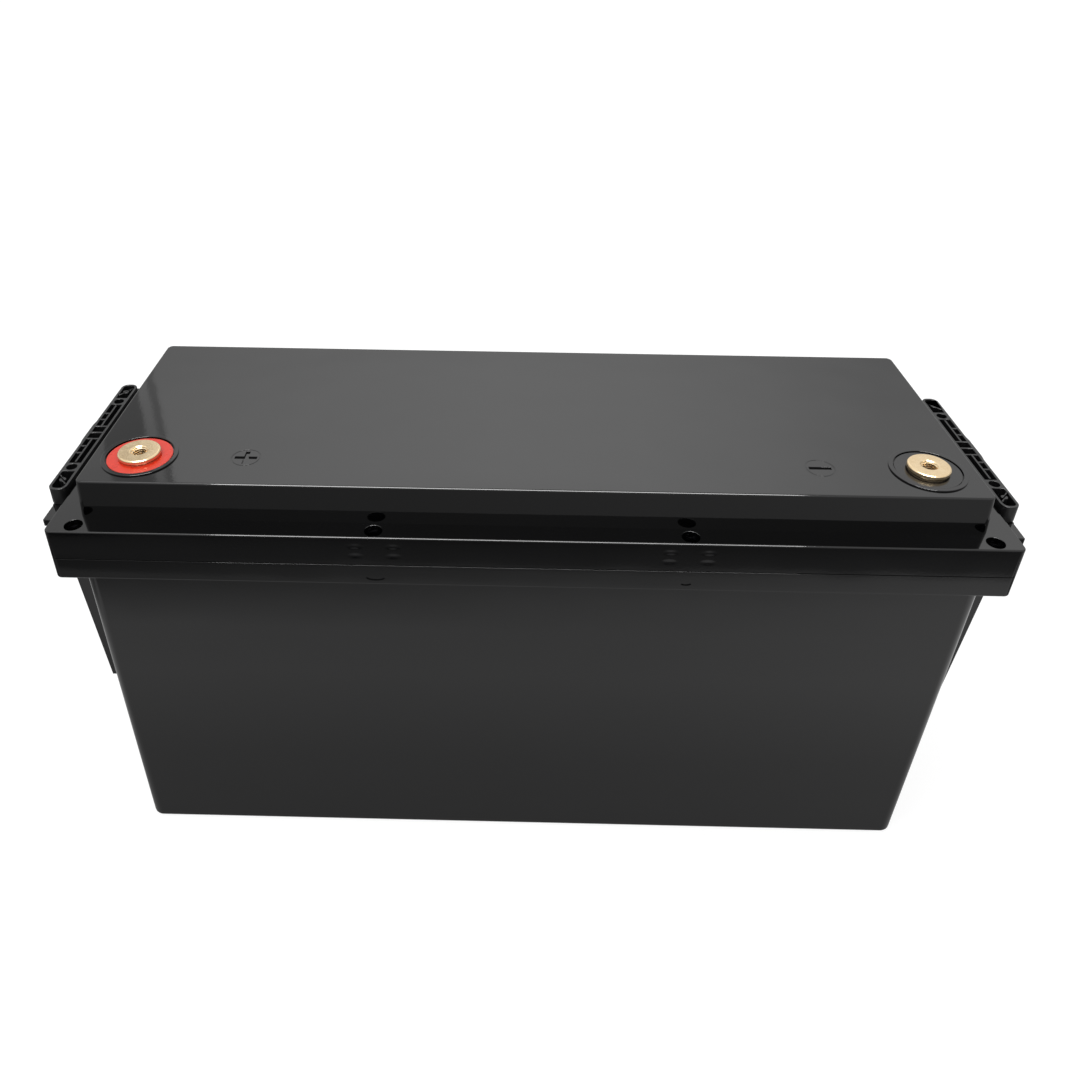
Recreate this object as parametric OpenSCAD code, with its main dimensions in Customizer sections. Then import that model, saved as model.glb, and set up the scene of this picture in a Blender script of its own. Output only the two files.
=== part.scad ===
// Battery pack: a 12 V block of four prismatic cells in a moulded case with a screwed lid, two
// threaded brass terminals, and at each end a grip that pulls straight up out of two sleeves.
// Millimetres, +Z up, +X along the pack, origin at the middle of the base.

/* [Cells] */
// Width of one cell, along the pack
cell_w = 173.9; // [140:0.1:210]
// Thickness of one cell, across the pack
cell_t = 71.7; // [50:0.1:80]
// Height of one cell without its posts
cell_h = 204.4; // [170:0.1:240]
// Edge radius of a cell's can
cell_r = 3; // [1:0.5:5]
// Distance between the two posts of a cell
post_span = 122; // [100:1:130]
// Diameter of a post's foot
post_d = 16; // [12:0.5:20]
// Height of a post's foot
post_h = 3; // [2.6:0.1:6]
// Diameter of the stud on a post
stud_d = 6; // [5:1:8]
// Thickness of the sheets between cells
separator_t = 1; // [0.5:0.1:3]
// Thickness of the plates that clamp the block
clamp_t = 3; // [2:0.5:6]
// How far the clamp plates end below the cells' tops
clamp_drop = 8; // [4:1:30]
// Thickness of the steel straps round the block
strap_t = 0.8; // [0.5:0.1:1.5]
// Width of the straps
strap_w = 16; // [10:1:25]
// Height of the lower strap's middle above the cells' base
strap_up = 33; // [20:1:60]
// Distance of the upper strap's middle below the cells' tops
strap_drop = 41.4; // [18:0.1:60]

/* [Cushions] */
// Thickness of the foam under the cells
floor_foam = 3; // [1:0.5:8]
// Thickness of the foam on each long side of the block
side_foam = 5.6; // [3:0.1:12]
// Thickness of the foam at the closed end of the block
end_foam = 5; // [3:0.1:12]
// Height of the side and end foam
foam_h = 140; // [80:1:160]
// Slack left between foam and case at the floor
foam_slack = 0.4; // [0.1:0.1:1]

/* [Management board] */
// Length of the bay beside the block
bay_l = 86.8; // [75:0.1:120]
// Width of the mounting plate
bms_plate_w = 120; // [110:1:130]
// Height of the mounting plate
bms_plate_h = 150; // [145:1:155]
// Thickness of the mounting plate
bms_plate_t = 4; // [2:0.5:5]
// Distance of the mounting plate's top below the cells' tops
bms_drop = 14.4; // [8:0.1:19]
// Length of the spacers behind the board
spacer_h = 6; // [4:0.5:8]
// Width of the board
board_w = 104; // [100:1:108]
// Height of the board
board_h = 140; // [130:1:142]
// Thickness of the board
board_t = 1.6; // [1:0.1:3]
// Distance between the two copper tabs
tab_span = 50; // [44:1:60]
// Thickness of a copper tab
tab_t = 3; // [2:0.5:5]
// Width of a copper tab
tab_w = 18; // [16:1:24]
// Height of a copper tab
tab_h = 24; // [20:1:30]
// Height of a heat sink
sink_h = 18; // [10:1:30]
// Reach of a heat sink's fins from the board
sink_reach = 11; // [6:1:20]

/* [Case] */
// Thickness of the case walls
wall = 3.4; // [2.5:0.1:5]
// Thickness of the case floor
floor_t = 4; // [3:0.1:6]
// Draft of the body on each side, from the floor to the rim
draft = 1.5; // [0.5:0.1:3]
// Radius of the body's upright edges
body_r = 5.5; // [3:0.5:8]
// Chamfer round the body's base
base_chamfer = 2; // [0.5:0.1:3]
// Height of the case flange
case_flange_h = 12.6; // [8:0.1:16]
// Overhang of the flange on the long sides
flange_lip = 1.1; // [0.5:0.1:6]
// Overhang of the flange at the ends
flange_end = 13.4; // [11:0.1:20]
// Radius of the flange's corners
flange_r = 3; // [2:0.5:6]

/* [Lid] */
// Height of the raised hood above the flange
hood_h = 21.5; // [18:0.5:35]
// Height of the lid's flange
lid_flange_h = 17; // [16:0.5:30]
// Free height between the cells' tops and the lid
head_room = 29; // [27:0.1:45]
// Distance from the flange's end to the hood
hood_end = 15.1; // [13:0.1:25]
// Distance from the flange's long side to the hood
hood_side = 12.9; // [12.6:0.1:16]
// Radius of the hood's upright edges
hood_r = 3.5; // [3:0.5:8]
// Draft of the hood on each side
hood_draft = 1; // [0.2:0.1:2]
// Thickness of the lid's walls
lid_wall = 3.2; // [2.5:0.1:5]
// Thickness of the lid's top plates
lid_plate = 4; // [3:0.1:6]
// Thickness of the gasket, which is the seam between lid and case
seam = 0.5; // [0.3:0.1:1.5]
// Number of ribs under the hood
lid_ribs = 4; // [2:1:6]

/* [Lid screws] */
// Distance of the screws from the long sides
screw_side = 5.8; // [5.6:0.1:7]
// Distance of the corner screws from the flange's ends
screw_end = 13.3; // [10:0.1:16]
// Distance of the inner screws from the middle
screw_mid = 79; // [40:1:120]
// Diameter of the screw pockets
pocket_d = 9; // [8.2:0.1:10]
// Depth of the screw pockets
pocket_h = 8; // [4:0.1:10]
// Diameter of the screw bosses
boss_d = 11; // [10.4:0.1:11.4]
// Length of the bosses in the case
boss_h = 30; // [15:1:45]
// Thread diameter of the screws
screw_d = 4; // [3:0.5:4]
// Diameter of the screw heads
head_d = 7.6; // [6:0.1:8]
// Height of the screw heads
head_h = 2.8; // [2.4:0.1:3.2]
// Outer diameter of the brass inserts
insert_d = 5.6; // [5.4:0.1:6.4]
// Length of the brass inserts
insert_h = 9; // [6:0.5:10]

/* [Terminals] */
// Distance of the terminals from the flange's ends
term_end = 40.1; // [37:0.1:60]
// Distance of the terminals from the front
term_front = 37; // [36:0.1:60]
// Diameter of a terminal's head
term_head_d = 21.5; // [20:0.5:26]
// Height of a terminal's head
term_head_h = 3.2; // [2.5:0.1:6]
// Diameter of the threaded body
term_d = 16; // [14:0.5:18]
// Length of the body below the head
term_len = 18.5; // [17:0.5:20]
// Diameter of the threaded hole, tapped M8
bore_d = 6.8; // [5:0.1:8.5]
// Depth of the threaded hole
bore_depth = 18; // [12:0.5:19]
// Diameter of the coloured disc
disc_d = 33; // [30:0.5:36]
// Thickness of the coloured disc
disc_h = 0.8; // [0.8:0.1:2]
// Diameter of the recess round the disc
recess_d = 38.6; // [37:0.1:44]
// Depth of the recess
recess_h = 0.6; // [0.4:0.1:1.2]
// Diameter of the washer under the lid
washer_d = 25; // [24:0.5:30]
// Distance of the + and - marks from the flange's ends
mark_end = 95; // [80:1:140]
// Length of the bars of the + and - marks
mark_l = 11.5; // [8:0.5:13]
// Width of the bars
mark_w = 1.8; // [1:0.1:3]
// Diameter of the ring round a mark
mark_ring_d = 15; // [14:0.5:20]
// Depth of the + and - marks
mark_h = 0.4; // [0.2:0.1:0.8]

/* [Handles] */
// How far a handle pulls up
travel = 45; // [30:1:50]
// Length of the grip
grip_l = 113; // [108:1:120]
// Width of the grip
grip_w = 9.6; // [9.5:0.1:12]
// Height of the grip
grip_h = 10; // [8:0.5:18]
// Thickness of the grip's walls
grip_wall = 1.5; // [1.2:0.1:2]
// Thickness of the grip's floor
grip_floor = 2; // [1.5:0.1:3]
// Thickness of the grip's ribs
rib_t = 1.2; // [0.8:0.1:1.6]
// Bulge in the middle of the grip's outer side
grip_bump = 0.5; // [0.2:0.1:2]
// Length of that bulge
bump_l = 16; // [10:1:30]
// Distance of a leg's middle from the grip's middle
leg_mid = 45; // [42:0.5:46]
// Width of a leg
leg_w = 17.4; // [12:0.1:18]
// Thickness of a leg
leg_t = 3.4; // [2.8:0.1:3.8]
// Length of a leg below its slot
leg_end = 8; // [5:1:12]
// How far the grip stands out over its sleeves
grip_over = 1.2; // [0:0.1:1.4]
// Clearance between a leg and its sleeve
leg_gap = 0.3; // [0.2:0.05:0.5]
// Diameter of the pins that stop the handles
pin_d = 4; // [3:0.5:6]
// Height of the pins above the flange's lower face
pin_up = 6; // [4:0.5:7]
// Thickness of the sleeves' side walls
sleeve_wall = 3; // [2:0.1:4]
// How far the sleeves' outer side slants inwards from the flange to the foot
sleeve_taper = 7.2; // [2:0.1:8]
// Length of the sleeves below the grip's seat
sleeve_l = 124; // [100:1:140]
// Length of the ledge outside each sleeve
ledge_l = 12.5; // [6:0.5:13]
// Thickness of the ledge
ledge_t = 4; // [3:0.1:6]
// Height of the ledge above the case's rim
ledge_up = 10.6; // [8:0.1:14]

/* [Leads] */
// Diameter of the heavy leads
lead_d = 8.5; // [6:0.5:9]
// Diameter of the sense harness
harness_d = 2.4; // [1.6:0.1:2.4]
// Thickness of the busbars and the cable lugs
copper_t = 2.5; // [1.5:0.1:3]

/* [Hidden] */
$fn = 64;

// Clearances
fit = 0.1;          // between parts that are put together by hand
thread_gap = 0.05;  // between a thread and what it turns in
loose = 0.3;        // between parts that move past each other
bite = 1;           // how far a feature is sunk into the wall that carries it
hull_fn = 32;       // segments of a drafted corner
fine_fn = 16;       // segments of a thin wire
skin = 0.01;        // thickness of the slices that a drafted block is stretched between

// Standard hardware
m3_d = 3;
m3_head_d = 5.6;
m3_head_h = 2;
m3_spacer_d = 6;
m6_flats = 10;
nut_h = 5;
bolt_head_h = 4;
thin_nut_h = 3;
stud_over = 2;      // how far a stud stands out of its nut
cross_l = 4.6;      // recess in a screw's head
cross_w = 1;

// Cell block
block_l = 2 * cell_w + separator_t + 2 * clamp_t;
block_d = 2 * cell_t + separator_t + 2 * clamp_t;

// Case, built round the block
inner_l = foam_slack + end_foam + strap_t + block_l + strap_t + bay_l;
inner_d = block_d + 2 * (strap_t + side_foam + foam_slack);
body_l = inner_l + 2 * wall;
body_d = inner_d + 2 * wall;
flange_l = body_l + 2 * (draft + flange_end);
flange_d = body_d + 2 * (draft + flange_lip);
inner_r = body_r - 1;

block_z = floor_t + floor_foam;
cell_top = block_z + cell_h;
lid_top = cell_top + head_room + lid_plate;
flange_top = lid_top - hood_h;
rim_z = flange_top - lid_flange_h - seam;
flange_z = rim_z - case_flange_h;

block_x0 = -inner_l / 2 + foam_slack + end_foam + strap_t;
block_x1 = block_x0 + block_l;
foam_half_d = block_d / 2 + strap_t;
rib_h = 150;        // retaining ribs that keep the block out of the bay
bay_rib_t = 3;
bay_rib_in = 7;     // how far a retaining rib reaches over the block's end

// Cells, numbered along the current's path
cell_x = [for (i = [-1, 1]) block_x0 + block_l / 2 + i * (cell_w + separator_t) / 2];
cell_y = [for (i = [-1, 1]) i * (cell_t + separator_t) / 2];
cell_places = [
    [cell_x[0], cell_y[0]], [cell_x[0], cell_y[1]], [cell_x[1], cell_y[1]], [cell_x[1], cell_y[0]]
];
post_top = cell_top + post_h;
stud_h = copper_t + nut_h + stud_over;
clamp_h = cell_h - clamp_drop;
strap_z = [block_z + strap_up, cell_top - strap_drop];
vent_l = 18;
vent_w = 10;
vent_r = 4;
vent_h = 0.6;

// Lid
hood_l = flange_l - 2 * hood_end;
hood_d = flange_d - 2 * hood_side;
screw_y = flange_d / 2 - screw_side;
screw_xs = [-(flange_l / 2 - screw_end), -screw_mid, screw_mid, flange_l / 2 - screw_end];
screw_len = lid_flange_h - pocket_h + seam + insert_h;
stiffener_h = 6;
stiffener_t = 2;
gasket_in = 1.2;    // how far the gasket stays inside the flange's edge

// Terminals
term_x = flange_l / 2 - term_end;
term_y = -(flange_d / 2 - term_front);
recess_z = lid_top - recess_h;
disc_top = recess_z + disc_h;
term_boss_h = 2;                       // thickening of the lid under a terminal
term_boss_d = 32;
term_seat = lid_top - lid_plate - term_boss_h;
washer_h = 1.5;
seal_d = washer_d - 4;
term_chamfer = 1.1;                    // round the mouth of the threaded hole
term_edge = 0.6;                       // bevel round the head's top
term_foot = 1;                         // height and set-in of the tier under the head
term_nut_h = 6;
term_nut_flats = 22;
lug_top = term_seat - washer_h;
mark_x = flange_l / 2 - mark_end;
mark_ring_w = 0.6;

// Handles
seat_z = rim_z + ledge_up;
grip_gap = 1.1;                        // between the grip and the flange
grip_x0 = flange_l / 2 + grip_gap;     // inner side of the grip
grip_x1 = grip_x0 + grip_w;
grip_r = grip_w / 2 - 0.7;
bump_run = 4;                          // length of the ramp at each end of the bulge
cross_pitch = 6.7;                     // between the ribs across the grip's middle
arc_pitch = 7;                         // between the short webs beside them
pocket_in = 9.6;                       // from a leg's middle to the round pocket
pocket_y = leg_mid - pocket_in;
pocket_gap = 5;                        // from the end of the long rib to the pocket's middle
web_boss_d = 3.6;                      // boss and slanted web beyond the pocket
web_l = 10;
web_turn = -52;
leg_x0 = grip_x0 + 0.6;
leg_x1 = leg_x0 + leg_t;
sleeve_in = leg_mid - leg_w / 2 - leg_gap - sleeve_wall;
sleeve_out = leg_mid + leg_w / 2 + leg_gap + sleeve_wall;
sleeve_z = seat_z - sleeve_l;
sleeve_x1 = grip_x1 - grip_over;
sleeve_x0 = sleeve_x1 - sleeve_taper;
guide_t = 2.2;                         // wall between a leg and the hollow behind it
hollow_x0 = body_l / 2 + draft + bite;
hollow_x1 = leg_x0 - leg_gap - guide_t;
pin_z = flange_z + pin_up;
pin_x1 = sleeve_x1 - bite;
pin_in = 10;                           // how far a pin runs into the case's flange
pin_len = pin_x1 - flange_l / 2 + pin_in;
leg_z = pin_z - travel - pin_d / 2 - loose - leg_end;
slot_z = leg_z - 2;                    // foot of the slot that a leg stands in

// Board bay
board_edge = 5;     // of the plate above and below the board
bms_x = block_x1 + strap_t;
bms_foot = cell_top - bms_drop - bms_plate_h;
board_x = bms_x + bms_plate_t + spacer_h;
board_face = board_x + board_t;
board_top = cell_top - bms_drop - board_edge;
board_foot = board_top - board_h;
tab_edge = 4;       // of the board above the tabs
tab_z = board_top - tab_h - tab_edge;
tab_face = board_face + tab_t;
m3_inset = 6;       // of the screws from the board's edges
screw_drop = 36;    // of the upper screws below the board's top, clear of the tabs
bms_screw_y = board_w / 2 - m3_inset;
bms_screw_zs = [board_foot + m3_inset, board_top - screw_drop];
sink_base = 3;
sink_fin = 2;
sink_gap = 2;       // between two fins
sink_inset = 14;    // of the heat sinks from the board's sides
sink_up = 24;       // of the lower heat sink above the board's foot
sink_apart = 18;    // between the two heat sinks
sink_z = [board_foot + sink_up, board_foot + sink_up + sink_h + sink_apart];
connector_h = 12;
connector_w = 20;
connector_t = 8;
connector_drop = 30;
connector_z = board_top - connector_drop;

// Lugs
m6_lug_d = 15;
term_lug_d = 25;
barrel_d = lead_d + 2;
barrel_l = 16;
barrel_lap = 2;     // between the barrel and the ring's edge
socket_l = 10;      // depth of the hole for the lead

black_abs = "#1c1c1e";
dark_abs = "#232326";
brass = "#c9a552";
copper = "#b87352";
steel = "#a9abad";
can_blue = "#2f5fa8";
foam_grey = "#4b4d50";

// A flat block with round upright edges, standing on z = 0
module rounded_rect(l, d, r) {
    square([l - 2 * r, d], center = true);
    square([l, d - 2 * r], center = true);
    for (x = [-1, 1], y = [-1, 1]) translate([x * (l / 2 - r), y * (d / 2 - r)]) circle(r);
}
module slab(l, d, r, h) linear_extrude(h) rounded_rect(l, d, r);

// A block that widens by side_draft on each side over its height
module drafted(l, d, r, h, side_draft) {
    hull() {
        slab(l, d, r, skin, $fn = hull_fn);
        translate([0, 0, h - skin])
            slab(l + 2 * side_draft, d + 2 * side_draft, r, skin, $fn = hull_fn);
    }
}

// A tube round the Z axis
module ring(outer, inner, h) difference() {
    cylinder(d = outer, h = h);
    translate([0, 0, -bite]) cylinder(d = inner, h = h + 2 * bite);
}

module at_screws() {
    for (x = screw_xs, y = [-screw_y, screw_y]) translate([x, y, 0]) children();
}
module at_sides() {
    for (side = [-1, 1]) on_side(side) children();
}
module on_side(side) {
    if (side > 0) children();
    else mirror([1, 0, 0]) children();
}
module at_legs() {
    for (y = [-leg_mid, leg_mid]) translate([0, y, 0]) children();
}
module at_terminals() {
    for (x = [-term_x, term_x]) translate([x, term_y, 0]) children();
}

// ---------------------------------------------------------------- case

module body_outside() {
    chamfer_l = body_l - 2 * base_chamfer;
    chamfer_d = body_d - 2 * base_chamfer;
    hull() {
        slab(chamfer_l, chamfer_d, body_r, skin, $fn = hull_fn);
        translate([0, 0, base_chamfer]) slab(body_l, body_d, body_r, skin, $fn = hull_fn);
        translate([0, 0, rim_z - skin])
            slab(body_l + 2 * draft, body_d + 2 * draft, body_r, skin, $fn = hull_fn);
    }
}

module body_cavity() {
    translate([0, 0, floor_t]) drafted(inner_l, inner_d, inner_r, rim_z - floor_t + skin, draft);
}

module case_flange() translate([0, 0, flange_z]) slab(flange_l, flange_d, flange_r, case_flange_h);

module pin_holes() at_legs() translate([pin_x1 - pin_len - fit, 0, pin_z]) rotate([0, 90, 0])
    cylinder(d = pin_d + 2 * thread_gap, h = pin_len + 3 * bite);

module case_bosses() {
    intersection() {
        at_screws() translate([0, 0, rim_z - boss_h]) cylinder(d = boss_d, h = boss_h);
        translate([0, 0, flange_z - boss_h])
            slab(inner_l + 2 * draft + bite, inner_d + 2 * draft + bite, inner_r, rim_z - flange_z + boss_h);
    }
}

module bay_ribs() {
    for (side = [-1, 1]) {
        inner_end = block_d / 2 - bay_rib_in;
        root = inner_d / 2 + draft + bite / 2;
        translate([bms_x + loose, side > 0 ? inner_end : -root, floor_t - bite])
            cube([bay_rib_t, root - inner_end, rib_h + bite]);
    }
}

module case_body() color(black_abs) difference() {
    union() {
        difference() {
            union() {
                body_outside();
                case_flange();
            }
            body_cavity();
        }
        case_bosses();
        bay_ribs();
    }
    at_screws() translate([0, 0, rim_z - insert_h - bite])
        cylinder(d = insert_d + 2 * thread_gap, h = insert_h + 2 * bite);
    at_sides() pin_holes();
}

// ---------------------------------------------------------------- sleeves

// Outline of a sleeve seen along Y: it hangs beside the flange and narrows below it
module sleeve_profile() polygon([
    [body_l / 2 - wall, sleeve_z], [sleeve_x0, sleeve_z], [sleeve_x1, flange_z], [sleeve_x1, seat_z],
    [flange_l / 2 + loose, seat_z], [flange_l / 2 + loose, rim_z], [flange_l / 2, rim_z],
    [flange_l / 2 - flange_end, flange_z], [body_l / 2 - wall, flange_z]
]);

// A slot for a leg and a hollow behind it
module sleeve_cuts() {
    slot_w = leg_w + 2 * leg_gap;
    translate([leg_x0 - leg_gap, leg_mid - slot_w / 2, slot_z])
        cube([leg_t + 2 * leg_gap, slot_w, seat_z - slot_z + bite]);
    translate([hollow_x0, leg_mid - slot_w / 2, sleeve_z - bite])
        cube([hollow_x1 - hollow_x0, slot_w, flange_z - sleeve_z - ledge_t + bite]);
}

// Two sleeves welded to the case's end wall, with the ledge beside each
module sleeves(side) color(black_abs) on_side(side) difference() {
    for (s = [-1, 1]) scale([1, s, 1]) difference() {
        union() {
            translate([0, sleeve_out, 0]) rotate([90, 0, 0])
                linear_extrude(sleeve_out - sleeve_in) sleeve_profile();
            translate([flange_l / 2 + loose, sleeve_in, seat_z - ledge_t])
                cube([sleeve_x1 - flange_l / 2 - loose, sleeve_out - sleeve_in + ledge_l, ledge_t]);
        }
        sleeve_cuts();
    }
    body_outside();
    case_flange();
    pin_holes();
}

// ---------------------------------------------------------------- lid

// The clear space inside the lid's flange, over the mouth of the case
module lid_mouth(h) {
    slab(inner_l + 2 * draft, inner_d + 2 * draft, inner_r, h);
}

module polarity_mark(plus) {
    translate([0, 0, lid_top - mark_h]) {
        translate([-mark_l / 2, -mark_w / 2, 0]) cube([mark_l, mark_w, mark_h + bite]);
        if (plus) translate([-mark_w / 2, -mark_l / 2, 0]) cube([mark_w, mark_l, mark_h + bite]);
        ring(mark_ring_d, mark_ring_d - 2 * mark_ring_w, mark_h + bite);
    }
}

module hood() {
    translate([0, 0, flange_top - bite]) mirror([0, 0, 1]) translate([0, 0, -hood_h - bite])
        drafted(hood_l, hood_d, hood_r, hood_h + bite, hood_draft);
}

module lid() color(black_abs) difference() {
    union() {
        difference() {
            union() {
                translate([0, 0, rim_z + seam]) slab(flange_l, flange_d, flange_r, lid_flange_h);
                hood();
            }
            translate([0, 0, rim_z]) lid_mouth(flange_top - lid_plate - rim_z);
            translate([0, 0, flange_top - lid_plate - bite])
                slab(hood_l - 2 * lid_wall, hood_d - 2 * lid_wall, hood_r, hood_h + bite);
        }
        at_screws() translate([0, 0, rim_z + seam]) cylinder(d = boss_d, h = lid_flange_h - bite);
        at_terminals() translate([0, 0, term_seat]) cylinder(d = term_boss_d, h = term_boss_h + bite);
        for (i = [0 : lid_ribs - 1]) {
            rib_x = (i - (lid_ribs - 1) / 2) * 2 * (mark_x - mark_ring_d) / lid_ribs;
            translate([rib_x - stiffener_t / 2, -hood_d / 2 + lid_wall - bite / 2, 0])
                translate([0, 0, lid_top - lid_plate - stiffener_h])
                    cube([stiffener_t, hood_d - 2 * lid_wall + bite, stiffener_h + bite]);
        }
    }
    at_screws() {
        translate([0, 0, rim_z]) cylinder(d = screw_d + 4 * fit, h = lid_flange_h + 2 * bite);
        translate([0, 0, flange_top - pocket_h]) cylinder(d = pocket_d, h = pocket_h + bite);
    }
    at_terminals() {
        translate([0, 0, recess_z]) cylinder(d = recess_d, h = recess_h + bite);
        translate([0, 0, term_seat - bite])
            cylinder(d = term_d + 2 * fit, h = lid_plate + 2 * bite + term_boss_h);
    }
    translate([-mark_x, term_y, 0]) polarity_mark(true);
    translate([mark_x, term_y, 0]) polarity_mark(false);
}

module lid_gasket() color(foam_grey) translate([0, 0, rim_z]) difference() {
    slab(flange_l - 2 * gasket_in, flange_d - 2 * gasket_in, flange_r, seam);
    translate([0, 0, -bite]) lid_mouth(seam + 2 * bite);
    at_screws() translate([0, 0, -bite]) cylinder(d = insert_d + 2 * fit, h = seam + 2 * bite);
}

module lid_screws() color(steel) at_screws() translate([0, 0, flange_top - pocket_h]) difference() {
    union() {
        cylinder(d = head_d, h = head_h);
        translate([0, 0, -screw_len]) cylinder(d = screw_d, h = screw_len);
    }
    for (a = [0, 90]) rotate(a)
        translate([-cross_l / 2, -cross_w / 2, head_h / 2]) cube([cross_l, cross_w, head_h]);
}

module screw_inserts() color(brass) at_screws() translate([0, 0, rim_z - insert_h])
    ring(insert_d, screw_d + 2 * thread_gap, insert_h);

// ---------------------------------------------------------------- handles

// The grip's ribs, as seen from above: three cross ribs, a long rib each way, and the
// round pocket and slanted web over each leg
module grip_ribs(h) {
    inner_w = grip_w - grip_wall;
    for (y = [-cross_pitch, 0, cross_pitch])
        translate([-inner_w / 2, y - rib_t / 2, 0]) cube([inner_w, rib_t, h]);
    for (s = [-1, 1]) scale([1, s, 1]) {
        translate([-rib_t / 2, cross_pitch, 0]) cube([rib_t, pocket_y - cross_pitch - pocket_gap, h]);
        for (k = [1, 2]) translate([0, cross_pitch + k * arc_pitch, 0]) cube([inner_w / 2, rib_t, h]);
        translate([0, pocket_y, 0]) difference() {
            translate([-inner_w / 2, -inner_w / 2, 0]) cube([inner_w, inner_w, h]);
            translate([0, 0, -bite]) cylinder(d = inner_w - 2 * rib_t, h = h + 2 * bite);
        }
        web_y = (pocket_y + inner_w / 2 + grip_l / 2 - grip_wall) / 2;
        translate([0, web_y, 0]) {
            cylinder(d = web_boss_d, h = h);
            rotate(web_turn) translate([-web_l / 2, -rib_t / 2, 0]) cube([web_l, rib_t, h]);
        }
    }
}

module grip() {
    ramp_end = bump_l / 2 + bump_run;
    difference() {
        union() {
            slab(grip_w, grip_l, grip_r, grip_h);
            translate([grip_w / 2 - bite, 0, 0]) linear_extrude(grip_h)
                polygon([
                    [0, -ramp_end], [bite, -ramp_end], [bite + grip_bump, -bump_l / 2],
                    [bite + grip_bump, bump_l / 2], [bite, ramp_end], [0, ramp_end]
                ]);
        }
        translate([0, 0, grip_floor]) difference() {
            slab(grip_w - 2 * grip_wall, grip_l - 2 * grip_wall, grip_r - grip_wall, grip_h);
            grip_ribs(grip_h - grip_floor);
        }
    }
}

module leg() {
    slot_d = pin_d + 2 * loose;
    difference() {
        translate([leg_x0, leg_mid - leg_w / 2, leg_z]) cube([leg_t, leg_w, seat_z - leg_z + bite]);
        for (z = [pin_z, pin_z - travel]) translate([leg_x0 - bite, leg_mid, z]) rotate([0, 90, 0])
            cylinder(d = slot_d, h = leg_t + 2 * bite);
        translate([leg_x0 - bite, leg_mid - slot_d / 2, pin_z - travel])
            cube([leg_t + 2 * bite, slot_d, travel]);
    }
}

module handle(side) color(dark_abs) on_side(side) {
    translate([(grip_x0 + grip_x1) / 2, 0, seat_z]) grip();
    leg();
    mirror([0, 1, 0]) leg();
}

module handle_pins() color(steel) at_sides() at_legs()
    translate([pin_x1 - pin_len, 0, pin_z]) rotate([0, 90, 0]) cylinder(d = pin_d, h = pin_len);

// ---------------------------------------------------------------- terminals

module terminal() color(brass) translate([0, 0, disc_top]) difference() {
    union() {
        translate([0, 0, term_head_h - term_edge])
            cylinder(d1 = term_head_d, d2 = term_head_d - 2 * term_edge, h = term_edge);
        translate([0, 0, term_foot]) cylinder(d = term_head_d, h = term_head_h - term_foot - term_edge);
        cylinder(d = term_head_d - 2 * term_foot, h = term_foot + skin);
        translate([0, 0, -term_len]) cylinder(d = term_d, h = term_len + skin);
    }
    translate([0, 0, term_head_h - bore_depth]) cylinder(d = bore_d, h = bore_depth + bite);
    translate([0, 0, term_head_h - term_chamfer])
        cylinder(d1 = bore_d, d2 = bore_d + 2 * term_chamfer, h = term_chamfer + skin);
}

module positive_terminal() translate([-term_x, term_y, 0]) terminal();
module negative_terminal() translate([term_x, term_y, 0]) terminal();

module disc() translate([0, 0, recess_z]) ring(disc_d, term_d + 2 * fit, disc_h);
module positive_disc() color("#e33a1e") translate([-term_x, term_y, 0]) disc();
module negative_disc() color("#19191b") translate([term_x, term_y, 0]) disc();

module terminal_seals() color(foam_grey) at_terminals() translate([0, 0, term_seat - washer_h])
    ring(seal_d - fit, term_d + 2 * fit, washer_h);
module terminal_washers() color(steel) at_terminals() translate([0, 0, term_seat - washer_h])
    ring(washer_d, seal_d, washer_h);
module terminal_nuts() color(brass) at_terminals()
    translate([0, 0, lug_top - copper_t - term_nut_h]) difference() {
        cylinder(d = term_nut_flats / cos(30), h = term_nut_h, $fn = 6);
        translate([0, 0, -bite]) cylinder(d = term_d + 2 * thread_gap, h = term_nut_h + 2 * bite);
    }

// ---------------------------------------------------------------- cell block

module cell(number) color(can_blue) translate(concat(cell_places[number - 1], block_z))
    slab(cell_w, cell_t, cell_r, cell_h);

module at_cells() {
    for (place = cell_places) translate([place[0], place[1], cell_top]) children();
}
module at_posts() {
    at_cells() for (x = [-post_span / 2, post_span / 2]) translate([x, 0, 0]) children();
}

module cell_posts() color("#c7cacc") at_posts() {
    cylinder(d = post_d, h = post_h);
    cylinder(d = stud_d, h = post_h + stud_h);
}
module cell_vents() color("#8f9396") at_cells() slab(vent_l, vent_w, vent_r, vent_h);

module cell_separators() color("#c9c08a") translate([block_x0 + block_l / 2, 0, block_z]) {
    translate([-cell_w - separator_t / 2, -separator_t / 2, 0])
        cube([2 * cell_w + separator_t, separator_t, cell_h]);
    translate([-separator_t / 2, -cell_t - separator_t / 2, 0])
        cube([separator_t, 2 * cell_t + separator_t, cell_h]);
}

module end_plates() color("#c9c08a") translate([0, 0, block_z]) difference() {
    for (x = [block_x0, block_x1 - clamp_t])
        translate([x, -block_d / 2, 0]) cube([clamp_t, block_d, clamp_h]);
    translate([0, 0, -block_z]) at_bms_screws()
        cylinder(d = m3_d + 2 * fit, h = 4 * clamp_t, center = true);
}
module side_plates() color("#c9c08a") for (y = [-block_d / 2, block_d / 2 - clamp_t])
    translate([block_x0 + clamp_t, y, block_z]) cube([block_l - 2 * clamp_t, clamp_t, clamp_h]);

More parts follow.
